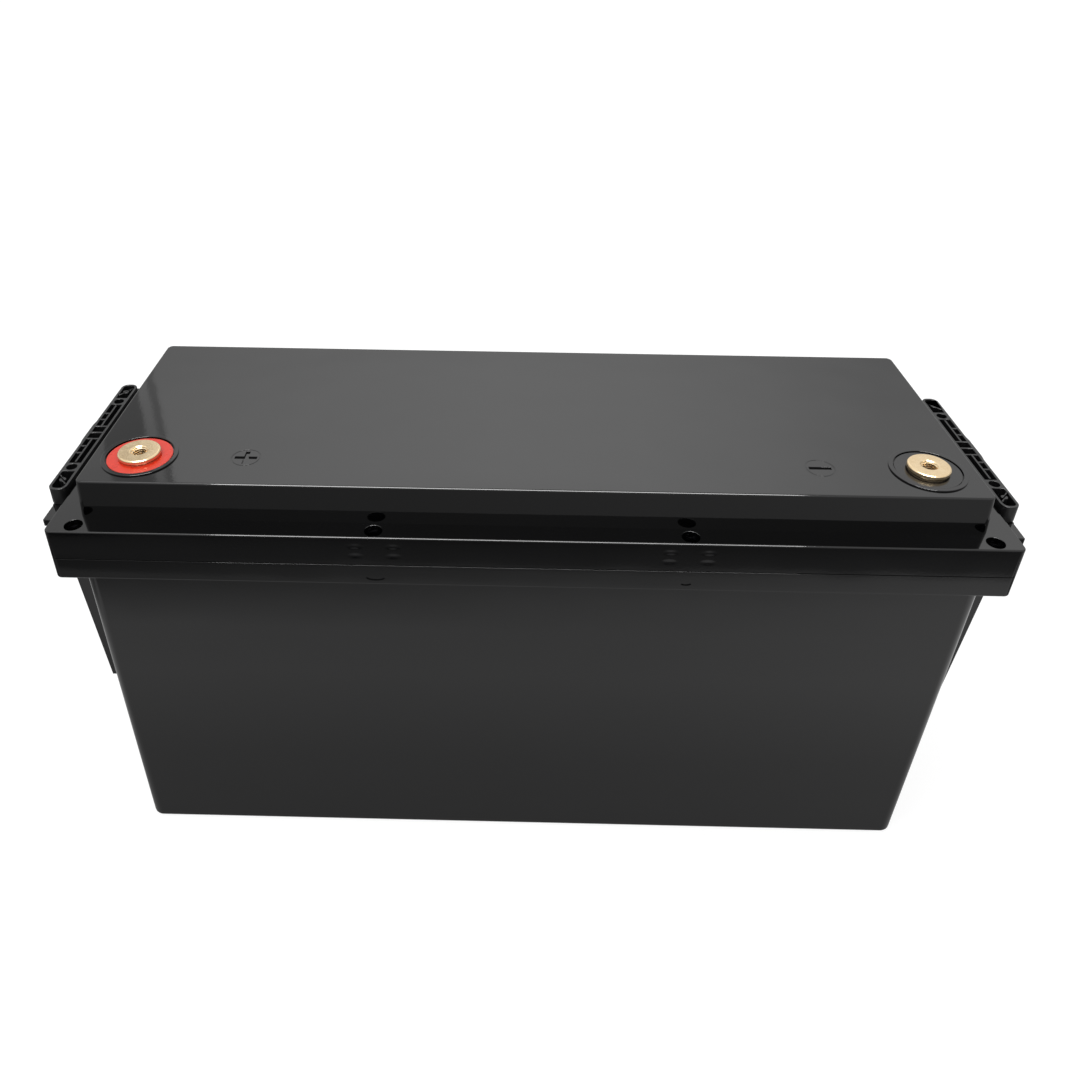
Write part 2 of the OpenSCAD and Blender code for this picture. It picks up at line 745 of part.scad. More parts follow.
module pack_straps() color(steel) for (z = strap_z)
    translate([block_x0 + block_l / 2, 0, z - strap_w / 2]) difference() {
        translate([-block_l / 2 - strap_t, -block_d / 2 - strap_t, 0])
            cube([block_l + 2 * strap_t, block_d + 2 * strap_t, strap_w]);
        translate([-block_l / 2, -block_d / 2, -bite]) cube([block_l, block_d, strap_w + 2 * bite]);
        translate([-block_x0 - block_l / 2, 0, strap_w / 2 - z]) at_bms_screws()
            cylinder(d = m3_d + 2 * fit, h = 4 * strap_t, center = true);
    }

module floor_pad() color(foam_grey) translate([block_x0, -block_d / 2, floor_t])
    cube([block_l, block_d, floor_foam]);
module side_pads() color(foam_grey) for (s = [-1, 1])
    translate([block_x0, s > 0 ? foam_half_d : -foam_half_d - side_foam, floor_t])
        cube([block_l, side_foam, foam_h]);
module end_pad() color(foam_grey)
    translate([block_x0 - strap_t - end_foam, -block_d / 2, floor_t]) cube([end_foam, block_d, foam_h]);

// A flat copper link between two posts
module link(a, b) {
    along = b - a;
    span = norm(along);
    translate([a[0], a[1], post_top]) rotate(atan2(along[1], along[0])) difference() {
        translate([span / 2, 0, 0]) slab(span + post_d, post_d, post_d / 2 - skin, copper_t);
        for (x = [0, span]) translate([x, 0, -bite]) cylinder(d = stud_d + 2 * fit, h = copper_t + 2 * bite);
    }
}
function post_at(number, side) = cell_places[number - 1] + [side * post_span / 2, 0];

module busbars() color(copper) {
    link(post_at(1, -1), post_at(2, -1));
    link(post_at(2, 1), post_at(3, -1));
    link(post_at(3, 1), post_at(4, 1));
}

module busbar_nuts() color(steel) at_posts() translate([0, 0, post_h + copper_t]) difference() {
    cylinder(d = m6_flats / cos(30), h = nut_h, $fn = 6);
    translate([0, 0, -bite]) cylinder(d = stud_d + 2 * thread_gap, h = nut_h + 2 * bite);
}

// ---------------------------------------------------------------- management board

module at_bms_screws() {
    for (y = [-bms_screw_y, bms_screw_y], z = bms_screw_zs)
        translate([bms_x, y, z]) rotate([0, 90, 0]) children();
}
module at_tabs() {
    for (y = [-tab_span / 2, tab_span / 2]) translate([board_face, y, tab_z]) children();
}

module bms_plate() color("#b9bcbf") difference() {
    translate([bms_x, -bms_plate_w / 2, bms_foot]) cube([bms_plate_t, bms_plate_w, bms_plate_h]);
    at_bms_screws() translate([0, 0, -bite]) cylinder(d = m3_d + 2 * fit, h = bms_plate_t + 2 * bite);
}
module bms_board() color("#1f5a34") difference() {
    translate([board_x, -board_w / 2, board_foot]) cube([board_t, board_w, board_h]);
    at_bms_screws() translate([0, 0, bms_plate_t])
        cylinder(d = m3_d + 2 * fit, h = spacer_h + board_t + bite);
    at_tabs() translate([-board_t - bite, 0, tab_h / 2]) rotate([0, 90, 0])
        cylinder(d = stud_d + 2 * fit, h = board_t + 2 * bite);
}
module bms_heatsinks() color("#9a9da0") for (z = sink_z)
    translate([board_face, -board_w / 2 + sink_inset, z]) {
        cube([sink_base, board_w - 2 * sink_inset, sink_h]);
        for (up = [0 : sink_fin + sink_gap : sink_h - sink_fin])
            translate([0, 0, up]) cube([sink_reach, board_w - 2 * sink_inset, sink_fin]);
    }
module bms_tabs() color(copper) at_tabs() difference() {
    translate([0, -tab_w / 2, 0]) cube([tab_t, tab_w, tab_h]);
    translate([-bite, 0, tab_h / 2]) rotate([0, 90, 0]) cylinder(d = stud_d + 2 * fit, h = tab_t + 2 * bite);
}
module bms_screws() color(steel) at_bms_screws() {
    translate([0, 0, -clamp_t]) cylinder(d = m3_d, h = clamp_t + bms_plate_t + spacer_h + board_t);
    translate([0, 0, bms_plate_t]) cylinder(d = m3_spacer_d, h = spacer_h);
    translate([0, 0, bms_plate_t + spacer_h + board_t]) cylinder(d = m3_head_d, h = m3_head_h);
}
// A bolt through lug, tab and board, with its nut behind the board
module bms_bolts() color(steel) at_tabs() translate([-board_t, 0, tab_h / 2]) rotate([0, 90, 0]) {
    grip = board_t + tab_t + copper_t;
    translate([0, 0, grip]) cylinder(d = m6_flats / cos(30), h = bolt_head_h, $fn = 6);
    translate([0, 0, -thin_nut_h - bite]) cylinder(d = stud_d, h = grip + thin_nut_h + bite);
    translate([0, 0, -thin_nut_h]) cylinder(d = m6_flats / cos(30), h = thin_nut_h, $fn = 6);
}
module bms_connector() color("#e9e6da")
    translate([board_face, -connector_w / 2, connector_z - connector_h])
        cube([connector_t, connector_w, connector_h]);

// ---------------------------------------------------------------- leads

// A crimped lug: its ring lies flat round the Z axis and its barrel points along +X
module lug(ring_d, hole_d) {
    start = ring_d / 2 + barrel_lap;
    difference() {
        union() {
            cylinder(d = ring_d, h = copper_t);
            translate([0, -barrel_d / 2, 0]) cube([start + barrel_lap, barrel_d, copper_t]);
            translate([start, 0, barrel_d / 2]) rotate([0, 90, 0])
                cylinder(d = barrel_d, h = barrel_l - barrel_lap);
        }
        translate([0, 0, -bite]) cylinder(d = hole_d, h = copper_t + 2 * bite);
        translate([ring_d / 2 + barrel_l - socket_l, 0, barrel_d / 2]) rotate([0, 90, 0])
            cylinder(d = lead_d + 2 * thread_gap, h = socket_l + bite);
    }
}

positive_post = post_at(1, 1);
negative_post = post_at(4, -1);
module cable_lugs() color("#c4b7a6") {
    translate([-term_x, term_y, lug_top]) mirror([0, 0, 1]) lug(term_lug_d, term_d + 2 * fit);
    translate([term_x, term_y, lug_top]) mirror([0, 0, 1]) rotate(180) lug(term_lug_d, term_d + 2 * fit);
    translate([positive_post[0], positive_post[1], post_top]) rotate(180) lug(m6_lug_d, stud_d + 2 * fit);
    translate([negative_post[0], negative_post[1], post_top]) lug(m6_lug_d, stud_d + 2 * fit);
    at_tabs() translate([tab_t, 0, tab_h / 2]) rotate([0, -90, 0]) mirror([0, 0, 1])
        lug(m6_lug_d, stud_d + 2 * fit);
}

// Point at t on the curve that leaves a towards b and reaches d from c
function curve_point(a, b, c, d, t) =
    pow(1 - t, 3) * a + 3 * pow(1 - t, 2) * t * b + 3 * (1 - t) * t * t * c + t * t * t * d;
function curve(a, b, c, d, n) = [for (i = [0 : n]) curve_point(a, b, c, d, i / n)];
function unit(v) = v / norm(v);
function heading(path, i) =
    unit(path[min(i + 1, len(path) - 1)] - path[max(i - 1, 0)]);

// A round cable along a path that never runs straight along Y
module cable(path, d, sides) {
    n = len(path);
    points = [
        for (i = [0 : n - 1])
            let (t = heading(path, i), u = unit(cross(t, [0, 1, 0])), v = cross(t, u))
            for (k = [0 : sides - 1])
                path[i] + d / 2 * (cos(360 * k / sides) * u + sin(360 * k / sides) * v)
    ];
    tube = [
        for (i = [0 : n - 2], k = [0 : sides - 1])
            let (m = (k + 1) % sides)
            [i * sides + k, (i + 1) * sides + k, (i + 1) * sides + m, i * sides + m]
    ];
    first = [for (k = [0 : sides - 1]) k];
    last = [for (k = [sides - 1 : -1 : 0]) (n - 1) * sides + k];
    polyhedron(points, concat(tube, [first, last]), convexity = 4);
}

// Depth to which a cable sits in a lug's barrel, and the heights of the barrels' axes
crimp = socket_l - bite;
term_reach = term_lug_d / 2 + barrel_l + bite;
post_reach = m6_lug_d / 2 + barrel_l + bite;
term_lead_z = lug_top - barrel_d / 2;
post_lead_z = post_top + barrel_d / 2;
tab_lead_x = tab_face + barrel_d / 2;
tab_lead_z = tab_z + tab_h / 2 + post_reach;

// How far each lead runs straight on from its lugs before it turns
positive_run = 26;
negative_run = [22, 20];
battery_run = [60, 46];
lead_steps = 18;
lead_sides = 12;

// A lead between two lugs: a and d lie at the mouths of the barrels, out is the way each
// barrel points
module lead(a, a_out, a_run, d, d_out, d_run) {
    path = curve(a, a + a_run * a_out, d + d_run * d_out, d, lead_steps);
    cable(concat([a - crimp * a_out], path, [d - crimp * d_out]), lead_d, lead_sides);
}

module positive_lead() color("#c62a1c") lead(
    [positive_post[0] - post_reach, positive_post[1], post_lead_z], [-1, 0, 0], positive_run,
    [-term_x + term_reach, term_y, term_lead_z], [1, 0, 0], positive_run);
module negative_lead() color("#1a1a1c") lead(
    [term_x - term_reach, term_y, term_lead_z], [-1, 0, 0], negative_run[0],
    [tab_lead_x, -tab_span / 2, tab_lead_z], [0, 0, 1], negative_run[1]);
module battery_lead() color("#1a1a1c") lead(
    [negative_post[0] + post_reach, negative_post[1], post_lead_z], [1, 0, 0], battery_run[0],
    [tab_lead_x, tab_span / 2, tab_lead_z], [0, 0, 1], battery_run[1]);

harness_z = cell_top + harness_d / 2 + fit;
harness_run = [22, 40];
tap_d = harness_d * 0.7;
module sense_harness() color("#d8d4c6") {
    start = [cell_places[0][0] - post_span / 2, 0, harness_z];
    bend = [block_x1, 0, harness_z];
    plug = [board_face + connector_t / 2, 0, connector_z + fit];
    drop = curve(bend, bend + [harness_run[0], 0, 0], plug + [0, 0, harness_run[1]], plug, lead_sides);
    cable(concat([start], drop), harness_d, lead_sides);
    link_x = (post_at(2, 1)[0] + post_at(3, -1)[0]) / 2;
    for (tap = [[positive_post[0], -1], [link_x, 1], [negative_post[0], -1]])
        translate([tap[0], 0, harness_z]) rotate([-90 * tap[1], 0, 0])
            cylinder(d = tap_d, h = (cell_t + separator_t) / 2 - post_d / 2 - fit, $fn = fine_fn);
}

case_body();  // case
lid();
lid_gasket();
lid_screws();
screw_inserts();
sleeves(-1);  // sleeves_left
sleeves(1);  // sleeves_right
handle(-1);  // handle_left
handle(1);  // handle_right
handle_pins();
positive_terminal();
negative_terminal();
positive_disc();
negative_disc();
terminal_seals();
terminal_washers();
terminal_nuts();
cell(1);  // cell_1
cell(2);  // cell_2
cell(3);  // cell_3
cell(4);  // cell_4
cell_posts();
cell_vents();
cell_separators();
end_plates();
side_plates();
pack_straps();
floor_pad();
side_pads();
end_pad();
busbars();
busbar_nuts();
bms_plate();
bms_board();
bms_heatsinks();
bms_tabs();
bms_screws();
bms_bolts();
bms_connector();
cable_lugs();
positive_lead();
negative_lead();
battery_lead();
sense_harness();
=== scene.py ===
import math

import bmesh
import bpy
from mathutils import Matrix, Vector


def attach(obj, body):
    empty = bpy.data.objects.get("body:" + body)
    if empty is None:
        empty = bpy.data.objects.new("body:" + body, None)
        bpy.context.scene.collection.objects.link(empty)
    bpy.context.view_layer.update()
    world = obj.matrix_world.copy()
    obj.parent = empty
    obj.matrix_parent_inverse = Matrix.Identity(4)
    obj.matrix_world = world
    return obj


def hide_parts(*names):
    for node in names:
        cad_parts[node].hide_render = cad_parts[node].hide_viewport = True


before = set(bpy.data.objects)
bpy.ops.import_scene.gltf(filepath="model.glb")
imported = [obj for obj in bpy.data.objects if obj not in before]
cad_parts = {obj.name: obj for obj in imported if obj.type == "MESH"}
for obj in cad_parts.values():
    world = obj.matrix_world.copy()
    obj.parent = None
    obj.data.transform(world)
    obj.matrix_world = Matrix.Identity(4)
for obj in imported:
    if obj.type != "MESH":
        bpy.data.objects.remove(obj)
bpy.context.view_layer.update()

# ---------------- case
# The case is a deep tub of black ABS, injection moulded with a little draft so that it
# leaves the mould, with a flange round its mouth. Ejector pins left two ovals on its front.

MM = 0.001


def linear(hex_colour):
    """An sRGB hex colour as linear red, green, blue and alpha."""
    parts = [int(hex_colour[i:i + 2], 16) / 255 for i in (1, 3, 5)]
    return [p / 12.92 if p <= 0.04045 else ((p + 0.055) / 1.055) ** 2.4 for p in parts] + [1.0]


def add(tree, kind, inputs=None, **settings):
    """Adds a node with its settings, and gives each input a value or a link."""
    made = tree.nodes.new("ShaderNode" + kind)
    for name, value in settings.items():
        setattr(made, name, value)
    for name, value in (inputs or {}).items():
        if isinstance(value, bpy.types.NodeSocket):
            tree.links.new(value, made.inputs[name])
        else:
            made.inputs[name].default_value = value
    return made


def begin_material(name):
    """A new material without nodes, and the place on the object in metres."""
    material = bpy.data.materials.new(name)
    material.use_nodes = True
    material.node_tree.nodes.clear()
    place = add(material.node_tree, "TexCoord").outputs["Object"]
    return material, material.node_tree, place


def end_material(tree, colour, rough, bump, **sockets):
    """The shader and the output. Three nodes give the colour, the roughness and the bump, and
    the shader's other sockets are named with _ for a space."""
    inputs = {name.replace("_", " "): value for name, value in sockets.items()}
    inputs["Base Color"] = colour.outputs[2]
    inputs["Roughness"] = rough.outputs["Result"]
    inputs["Normal"] = bump.outputs["Normal"]
    shader = add(tree, "BsdfPrincipled", inputs)
    add(tree, "OutputMaterial", {"Surface": shader.outputs["BSDF"]})


def block(bm, x, y, z, grow=0.0, corner=0.0):
    """A block between two values each way, in mm. Its top is wider by grow on each side,
    and its upright edges are rounded by the radius corner."""
    verts = bmesh.ops.create_cube(bm, size=1.0)["verts"]
    size = Vector((x[1] - x[0], y[1] - y[0], z[1] - z[0]))
    middle = Vector((x[1] + x[0], y[1] + y[0], z[1] + z[0])) / 2
    bmesh.ops.scale(bm, vec=size, verts=verts)
    bmesh.ops.translate(bm, vec=middle, verts=verts)
    if grow:
        top = [v for v in verts if v.co.z > middle.z]
        wider = ((size.x + 2 * grow) / size.x, (size.y + 2 * grow) / size.y, 1)
        bmesh.ops.scale(bm, vec=wider, space=Matrix.Translation(-middle), verts=top)
    if corner:
        uprights = [e for e in bm.edges if abs(e.verts[0].co.z - e.verts[1].co.z) > size.z / 2]
        bmesh.ops.bevel(
            bm, geom=uprights, offset=corner, segments=8, profile=0.5, affect="EDGES",
            material=-1)
    return verts


def rod(bm, x, y, z, radius, segments):
    """An upright round bar, in mm."""
    verts = bmesh.ops.create_cone(
        bm, cap_ends=True, segments=segments, radius1=radius, radius2=radius,
        depth=z[1] - z[0])["verts"]
    bmesh.ops.translate(bm, vec=(x, y, (z[0] + z[1]) / 2), verts=verts)
    return verts


def settle(bm, name, unit=MM):
    """Makes the finished mesh an object in metres."""
    bmesh.ops.recalc_face_normals(bm, faces=bm.faces[:])
    bmesh.ops.scale(bm, vec=(unit, unit, unit), verts=bm.verts[:])
    mesh = bpy.data.meshes.new(name)
    bm.to_mesh(mesh)
    bm.free()
    piece = bpy.data.objects.new(name, mesh)
    bpy.context.scene.collection.objects.link(piece)
    return piece


def carve(piece, bm, operation="DIFFERENCE"):
    """Cuts a millimetre mesh out of a piece, or joins it on."""
    tool = settle(bm, "tool")
    modifier = piece.modifiers.new("carve", "BOOLEAN")
    modifier.operation, modifier.solver, modifier.object = operation, "EXACT", tool
    whole = piece.evaluated_get(bpy.context.evaluated_depsgraph_get())
    mesh = bpy.data.meshes.new_from_object(whole)
    piece.modifiers.clear()
    piece.data = mesh
    bpy.data.objects.remove(tool)


def soften(piece, rounds, segments=4):
    """Rounds each edge by the first radius, in mm, whose test of its two ends holds. An edge
    where the surface hardly turns is left, and broad faces are shaded flat."""
    largest = max(radius for radius, test in rounds)
    bm = bmesh.new()
    bm.from_mesh(piece.data)
    layers = bm.edges.layers.float
    weight = layers.get("bevel_weight_edge") or layers.new("bevel_weight_edge")
    for edge in bm.edges:
        turn = edge.calc_face_angle(0.0)
        a, b = (v.co / MM for v in edge.verts)
        radius = next((r for r, test in rounds if test(a, b)), 0.0) if turn > 0.2 else 0.0
        edge[weight] = radius / largest
        edge.smooth = radius > 0 or turn < math.radians(30)
    for face in bm.faces:
        face.smooth = True
    bm.to_mesh(piece.data)
    bm.free()
    modifier = piece.modifiers.new("rounded edges", "BEVEL")
    modifier.width, modifier.segments = largest * MM, segments
    modifier.limit_method, modifier.loop_slide = "WEIGHT", False
    modifier.use_clamp_overlap = False
    flats = piece.modifiers.new("flat faces", "WEIGHTED_NORMAL")
    flats.keep_sharp, flats.weight = True, 80


def dress(piece, body, slot, material, *nodes):
    """Gives a piece its material and its body, and hides the nodes that it stands for. The slot is
    not used.
    """
    piece.data.materials.clear()
    piece.data.materials.append(material)
    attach(piece, body)
    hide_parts(*nodes)


def level(z):
    """Holds for an edge that lies at a height, in mm."""
    return lambda a, b: abs(a.z - z) < 0.01 and abs(b.z - z) < 0.01


def outside(half_x, half_y):
    """Holds for an edge that lies outside a rectangle seen from above."""
    return lambda a, b: all(abs(p.x) > half_x or abs(p.y) > half_y for p in (a, b))


def both(*tests):
    """Holds for an edge for which all the tests hold."""
    return lambda a, b: all(test(a, b) for test in tests)


body_x, body_y, body_draft, body_corner = 227.7, 85.4, 1.42, 7
flange_x, flange_y, flange_corner = 242.6, 88.0, 3.2
flange_z, rim_z = 192.8, 205.4
inner_x, inner_y, inner_draft, floor_top = 224.3, 82.0, 1.5, 4
ovals = ((-78.5, 4.7, 1.7), (78.5, 2.6, 1.0))
oval_z, oval_depth = 197.3, 0.6

bm = bmesh.new()
block(
    bm, (-body_x, body_x), (-body_y, body_y), (0, flange_z + 2), grow=body_draft,
    corner=body_corner)
case = settle(bm, "case_tub")
bm = bmesh.new()
block(bm, (-flange_x, flange_x), (-flange_y, flange_y), (flange_z, rim_z), corner=flange_corner)
carve(case, bm, "UNION")
bm = bmesh.new()
block(bm, (-inner_x, inner_x), (-inner_y, inner_y), (floor_top, rim_z + 1), grow=inner_draft)
for x, half_length, half_height in ovals:
    oval = rod(bm, 0, 0, (-oval_depth, 1), 1.0, 48)
    bmesh.ops.scale(bm, verts=oval, vec=(half_length, half_height, 1))
    bmesh.ops.rotate(bm, verts=oval, matrix=Matrix.Rotation(math.pi / 2, 3, "X"))
    bmesh.ops.translate(bm, verts=oval, vec=(x, -flange_y, oval_z))
carve(case, bm)
soften(case, [
    (2.0, level(0)),
    (1.2, both(level(flange_z), outside(flange_x - 1, flange_y - 1))),
    (0.3, both(level(flange_z), outside(body_x - 2, body_y - 2))),
    (0.1, both(level(rim_z), outside(flange_x - 1, flange_y - 1))),
], segments=5)

# ABS moulded gloss: near black all through and polished by the mould, so the eye sees the
# room in it. The faint waves are the shrinkage of a thick moulding, the grain is its skin,
# and four small sinks lie round the boss of each middle screw.
abs_gloss, tree, place = begin_material("ABS moulded gloss")
waves = add(tree, "TexNoise", {"Vector": place, "Scale": 1 / 0.045, "Detail": 1.0})
wave_bump = add(tree, "Bump", {"Height": waves.outputs["Fac"], "Strength": 0.05, "Distance": 0.004})
grain = add(tree, "TexNoise", {"Vector": place, "Scale": 1 / 0.0016, "Detail": 2.0})
grain_bump = add(tree, "Bump", {
    "Height": grain.outputs["Fac"], "Normal": wave_bump.outputs["Normal"], "Strength": 0.03,
    "Distance": 0.0002})
axes = add(tree, "SeparateXYZ", {"Vector": place})
sink_axes = []
for axis, centre, offset, reach in (("X", 0.0783, 0.0095, 0.005), ("Z", 0.2144, 0.003, 0.0022)):
    size = add(tree, "Math", {0: axes.outputs[axis]}, operation="ABSOLUTE")
    from_boss = add(tree, "Math", {0: size.outputs[0], 1: centre}, operation="SUBTRACT")
    either_side = add(tree, "Math", {0: from_boss.outputs[0]}, operation="ABSOLUTE")
    from_sink = add(tree, "Math", {0: either_side.outputs[0], 1: offset}, operation="SUBTRACT")
    sink_axes.append(add(tree, "Math", {0: from_sink.outputs[0], 1: reach}, operation="DIVIDE"))
from_centre = add(tree, "CombineXYZ", {"X": sink_axes[0].outputs[0], "Y": sink_axes[1].outputs[0]})
distance = add(tree, "VectorMath", {0: from_centre.outputs[0]}, operation="LENGTH")
sink = add(tree, "MapRange", {"Value": distance.outputs["Value"]}, interpolation_type="SMOOTHSTEP")
sink_bump = add(tree, "Bump", {
    "Height": sink.outputs["Result"], "Normal": grain_bump.outputs["Normal"], "Strength": 1.0,
    "Distance": 0.00005})
haze = add(tree, "TexNoise", {"Vector": place, "Scale": 1 / 0.03, "Detail": 4.0})
haze_range = add(tree, "MapRange", {"Value": haze.outputs["Fac"], "To Min": 0.03, "To Max": 0.065})
cloud = add(tree, "TexNoise", {"Vector": place, "Scale": 1 / 0.06, "Detail": 3.0})
black = add(
    tree, "Mix", {0: cloud.outputs["Fac"], 6: linear("#020202"), 7: linear("#050506")},
    data_type="RGBA")
end_material(tree, black, haze_range, sink_bump, IOR=1.53)
dress(case, "pack", "black_abs", abs_gloss, "case")

# ---------------- sleeves
# Two sleeves at each end guide the handle's legs. They are ABS mouldings of the same black,
# welded to the end wall and under the flange, with a thin ledge beside each grip.


def upright(a, b):
    """Holds for an edge that stands upright, or nearly."""
    return abs(a.z - b.z) > 2 and (a - b).xy.length < 3


def beyond(y):
    """Holds for an edge that lies further out than y, in mm, in front or behind."""
    return lambda a, b: min(abs(a.y), abs(b.y)) > y


sleeve_foot, sleeve_outer, sleeve_taper, sleeve_half = 92.0, 252.1, 7.2, 12
wall_x, lip_x, lip_z = 227, flange_x + 0.3, rim_z - 0.2
leg_y, slot_x, slot_half, slot_foot = 45.0, (244.0, 248.0), 9, 141.5
hollow_x, hollow_top = (230.6, 241.8), flange_z - 4
seat_z, ledge_z, ledge_inner, ledge_outer = 216.0, 212, 34, 69.5
pin_z, pin_hole = 198.8, 2.05
corners = (
    (wall_x, sleeve_foot), (sleeve_outer - sleeve_taper, sleeve_foot), (sleeve_outer, flange_z),
    (sleeve_outer, seat_z), (lip_x, seat_z), (lip_x, lip_z), (wall_x, lip_z))

for side, name in ((-1, "left"), (1, "right")):
    bm = bmesh.new()
    for end in (-1, 1):
        outline = [bm.verts.new((side * x, end * (leg_y - sleeve_half), z)) for x, z in corners]
        moved = bmesh.ops.extrude_face_region(bm, geom=[bm.faces.new(outline)])["geom"]
        bmesh.ops.translate(
            bm, vec=(0, end * 2 * sleeve_half, 0),
            verts=[g for g in moved if isinstance(g, bmesh.types.BMVert)])
    long_edges = [edge for edge in bm.edges if abs(edge.verts[0].co.z - edge.verts[1].co.z) > 20
                  and all(abs(v.co.x) > lip_x for v in edge.verts)]
    bmesh.ops.bevel(
        bm, geom=long_edges, offset=0.5, segments=4, profile=0.5, affect="EDGES", material=-1)
    sleeves = settle(bm, "sleeves_" + name + "_shell")
    bm = bmesh.new()
    for end in (-1, 1):
        reach = sorted((side * (flange_x + 0.5), side * (sleeve_outer - 0.05)))
        block(bm, reach, sorted((end * ledge_inner, end * ledge_outer)), (ledge_z, seat_z))
    carve(sleeves, bm, "UNION")
    bm = bmesh.new()
    for end in (-1, 1):
        width = sorted((end * (leg_y - slot_half), end * (leg_y + slot_half)))
        block(bm, sorted(side * x for x in slot_x), width, (slot_foot, seat_z + 1))
        block(bm, sorted(side * x for x in hollow_x), width, (sleeve_foot - 1, hollow_top))
        hole = rod(bm, 0, 0, (sleeve_outer - 0.5, sleeve_outer + 3), pin_hole, 32)
        bmesh.ops.rotate(bm, verts=hole, matrix=Matrix.Rotation(side * math.pi / 2, 3, "Y"))
        bmesh.ops.translate(bm, verts=hole, vec=(0, end * leg_y, pin_z))
    carve(sleeves, bm)
    soften(sleeves, [
        (0.6, both(upright, beyond(ledge_outer - 0.5))),
        (0.6, both(level(seat_z), beyond(leg_y + sleeve_half - 0.5))),
    ])
    for edge in sleeves.data.edges:
        if all(abs(sleeves.data.vertices[v].co.z / MM - flange_z) < 0.01 for v in edge.vertices):
            edge.use_edge_sharp = True
    dress(sleeves, "pack", "black_abs", abs_gloss, "sleeves_" + name)

# ---------------- lid
# The lid is one ABS moulding: a flange that is screwed down on the case and a raised hood.
# A low collar and a shallow recess lie round each terminal, and + and - are sunk beside them.


def turned(bm, profile, x=0.0, y=0.0, steps=96):
    """Turns an outline of radius and height pairs, in mm, round an upright axis."""
    points = [bm.verts.new((x + radius, y, z)) for radius, z in profile]
    edges = [bm.edges.new(pair) for pair in zip(points, points[1:])]
    bmesh.ops.spin(
        bm, geom=points + edges, cent=(x, y, 0), axis=(0, 0, 1), angle=2 * math.pi,
        steps=steps, use_merge=True)
    bmesh.ops.remove_doubles(bm, verts=bm.verts[:], dist=0.0005)


lid_z, flange_top, lid_top, lid_wall = 205.9, 222.9, 244.4, 4
hood_x, hood_y, hood_draft, hood_corner = 227.5, 75.1, 1, 3.5
skirt_inner_x, skirt_inner_y, hood_inner_x, hood_inner_y = 226.2, 83.5, 225, 71.6
screw_places = [(x, y) for x in (-229.3, -79, 79, 229.3) for y in (-82.2, 82.2)]
pocket_depth, pocket_radius, boss_radius, shank_hole = 8, 4.5, 5.5, 2.2
terminal_x, terminal_y, terminal_hole = 202.5, -51.0, 8.1
collar_top, collar_radius = lid_top + 0.8, 19.3
recess_depth, left_recess, right_recess = 0.6, 17.2, 16.9
mark_x, bar_half_length, bar_half_width, bar_depth = 147.6, 5.75, 1.1, 0.8
ring_inner, ring_outer, ring_foot = 7.0, 7.5, lid_top - 0.15

bm = bmesh.new()
block(bm, (-flange_x, flange_x), (-flange_y, flange_y), (lid_z, flange_top), corner=flange_corner)
lid = settle(bm, "lid_cover")
bm = bmesh.new()
foot_x, foot_y = hood_x + hood_draft, hood_y + hood_draft
block(
    bm, (-foot_x, foot_x), (-foot_y, foot_y), (flange_top - 1, lid_top), grow=-hood_draft,
    corner=hood_corner)
carve(lid, bm, "UNION")
bm = bmesh.new()
block(
    bm, (-skirt_inner_x, skirt_inner_x), (-skirt_inner_y, skirt_inner_y),
    (lid_z - 1, flange_top - lid_wall))
carve(lid, bm)
bm = bmesh.new()
block(
    bm, (-hood_inner_x, hood_inner_x), (-hood_inner_y, hood_inner_y),
    (flange_top - 5, lid_top - lid_wall))
carve(lid, bm)
bm = bmesh.new()
for x, y in screw_places:
    rod(bm, x, y, (lid_z + 0.3, flange_top - 1), boss_radius, 48)
for x in (-terminal_x, terminal_x):
    rod(bm, x, terminal_y, (lid_top - 3, collar_top), collar_radius, 96)
carve(lid, bm, "UNION")
bm = bmesh.new()
for x, y in screw_places:
    rod(bm, x, y, (flange_top - pocket_depth, flange_top + 1), pocket_radius, 48)
for x, recess_radius in ((-terminal_x, left_recess), (terminal_x, right_recess)):
    rod(bm, x, terminal_y, (lid_top - recess_depth, collar_top + 1), recess_radius, 96)
carve(lid, bm)
bm = bmesh.new()
for x, y in screw_places:
    rod(bm, x, y, (lid_z - 2, flange_top), shank_hole, 32)
for x in (-terminal_x, terminal_x):
    rod(bm, x, terminal_y, (lid_top - 9, lid_top + 1), terminal_hole, 64)
carve(lid, bm)
bar_y = (terminal_y - bar_half_width, terminal_y + bar_half_width)
bar_z = (lid_top - bar_depth, lid_top + 1)
for x in (-mark_x, mark_x):
    bm = bmesh.new()
    turned(bm, [
        (ring_inner, ring_foot), (ring_outer, ring_foot), (ring_outer, lid_top + 1),
        (ring_inner, lid_top + 1), (ring_inner, ring_foot)], x, terminal_y)
    block(bm, (x - bar_half_length, x + bar_half_length), bar_y, bar_z)
    carve(lid, bm)
bm = bmesh.new()
block(
    bm, (-mark_x - bar_half_width, -mark_x + bar_half_width),
    (terminal_y - bar_half_length, terminal_y + bar_half_length), bar_z)
carve(lid, bm)

soften(lid, [
    (1.0, both(level(lid_top), outside(hood_x - 1.2, hood_y - 1.2))),
    (0.8, both(level(flange_top), outside(flange_x - 1, flange_y - 1))),
    (0.1, both(level(lid_z), outside(flange_x - 1, flange_y - 1))),
    (0.3, level(collar_top)),
    (0.25, both(level(flange_top), outside(hood_x + 2, hood_y + 2))),
    (0.12, both(level(lid_top), lambda a, b: abs(abs(a.x) - mark_x) < 9)),
])
dress(lid, "pack", "black_abs", abs_gloss, "lid")

# ---------------- lid screws
# Eight cross-recess screws hold the lid, deep in its pockets. They are cold-headed steel
# with a black zinc finish.

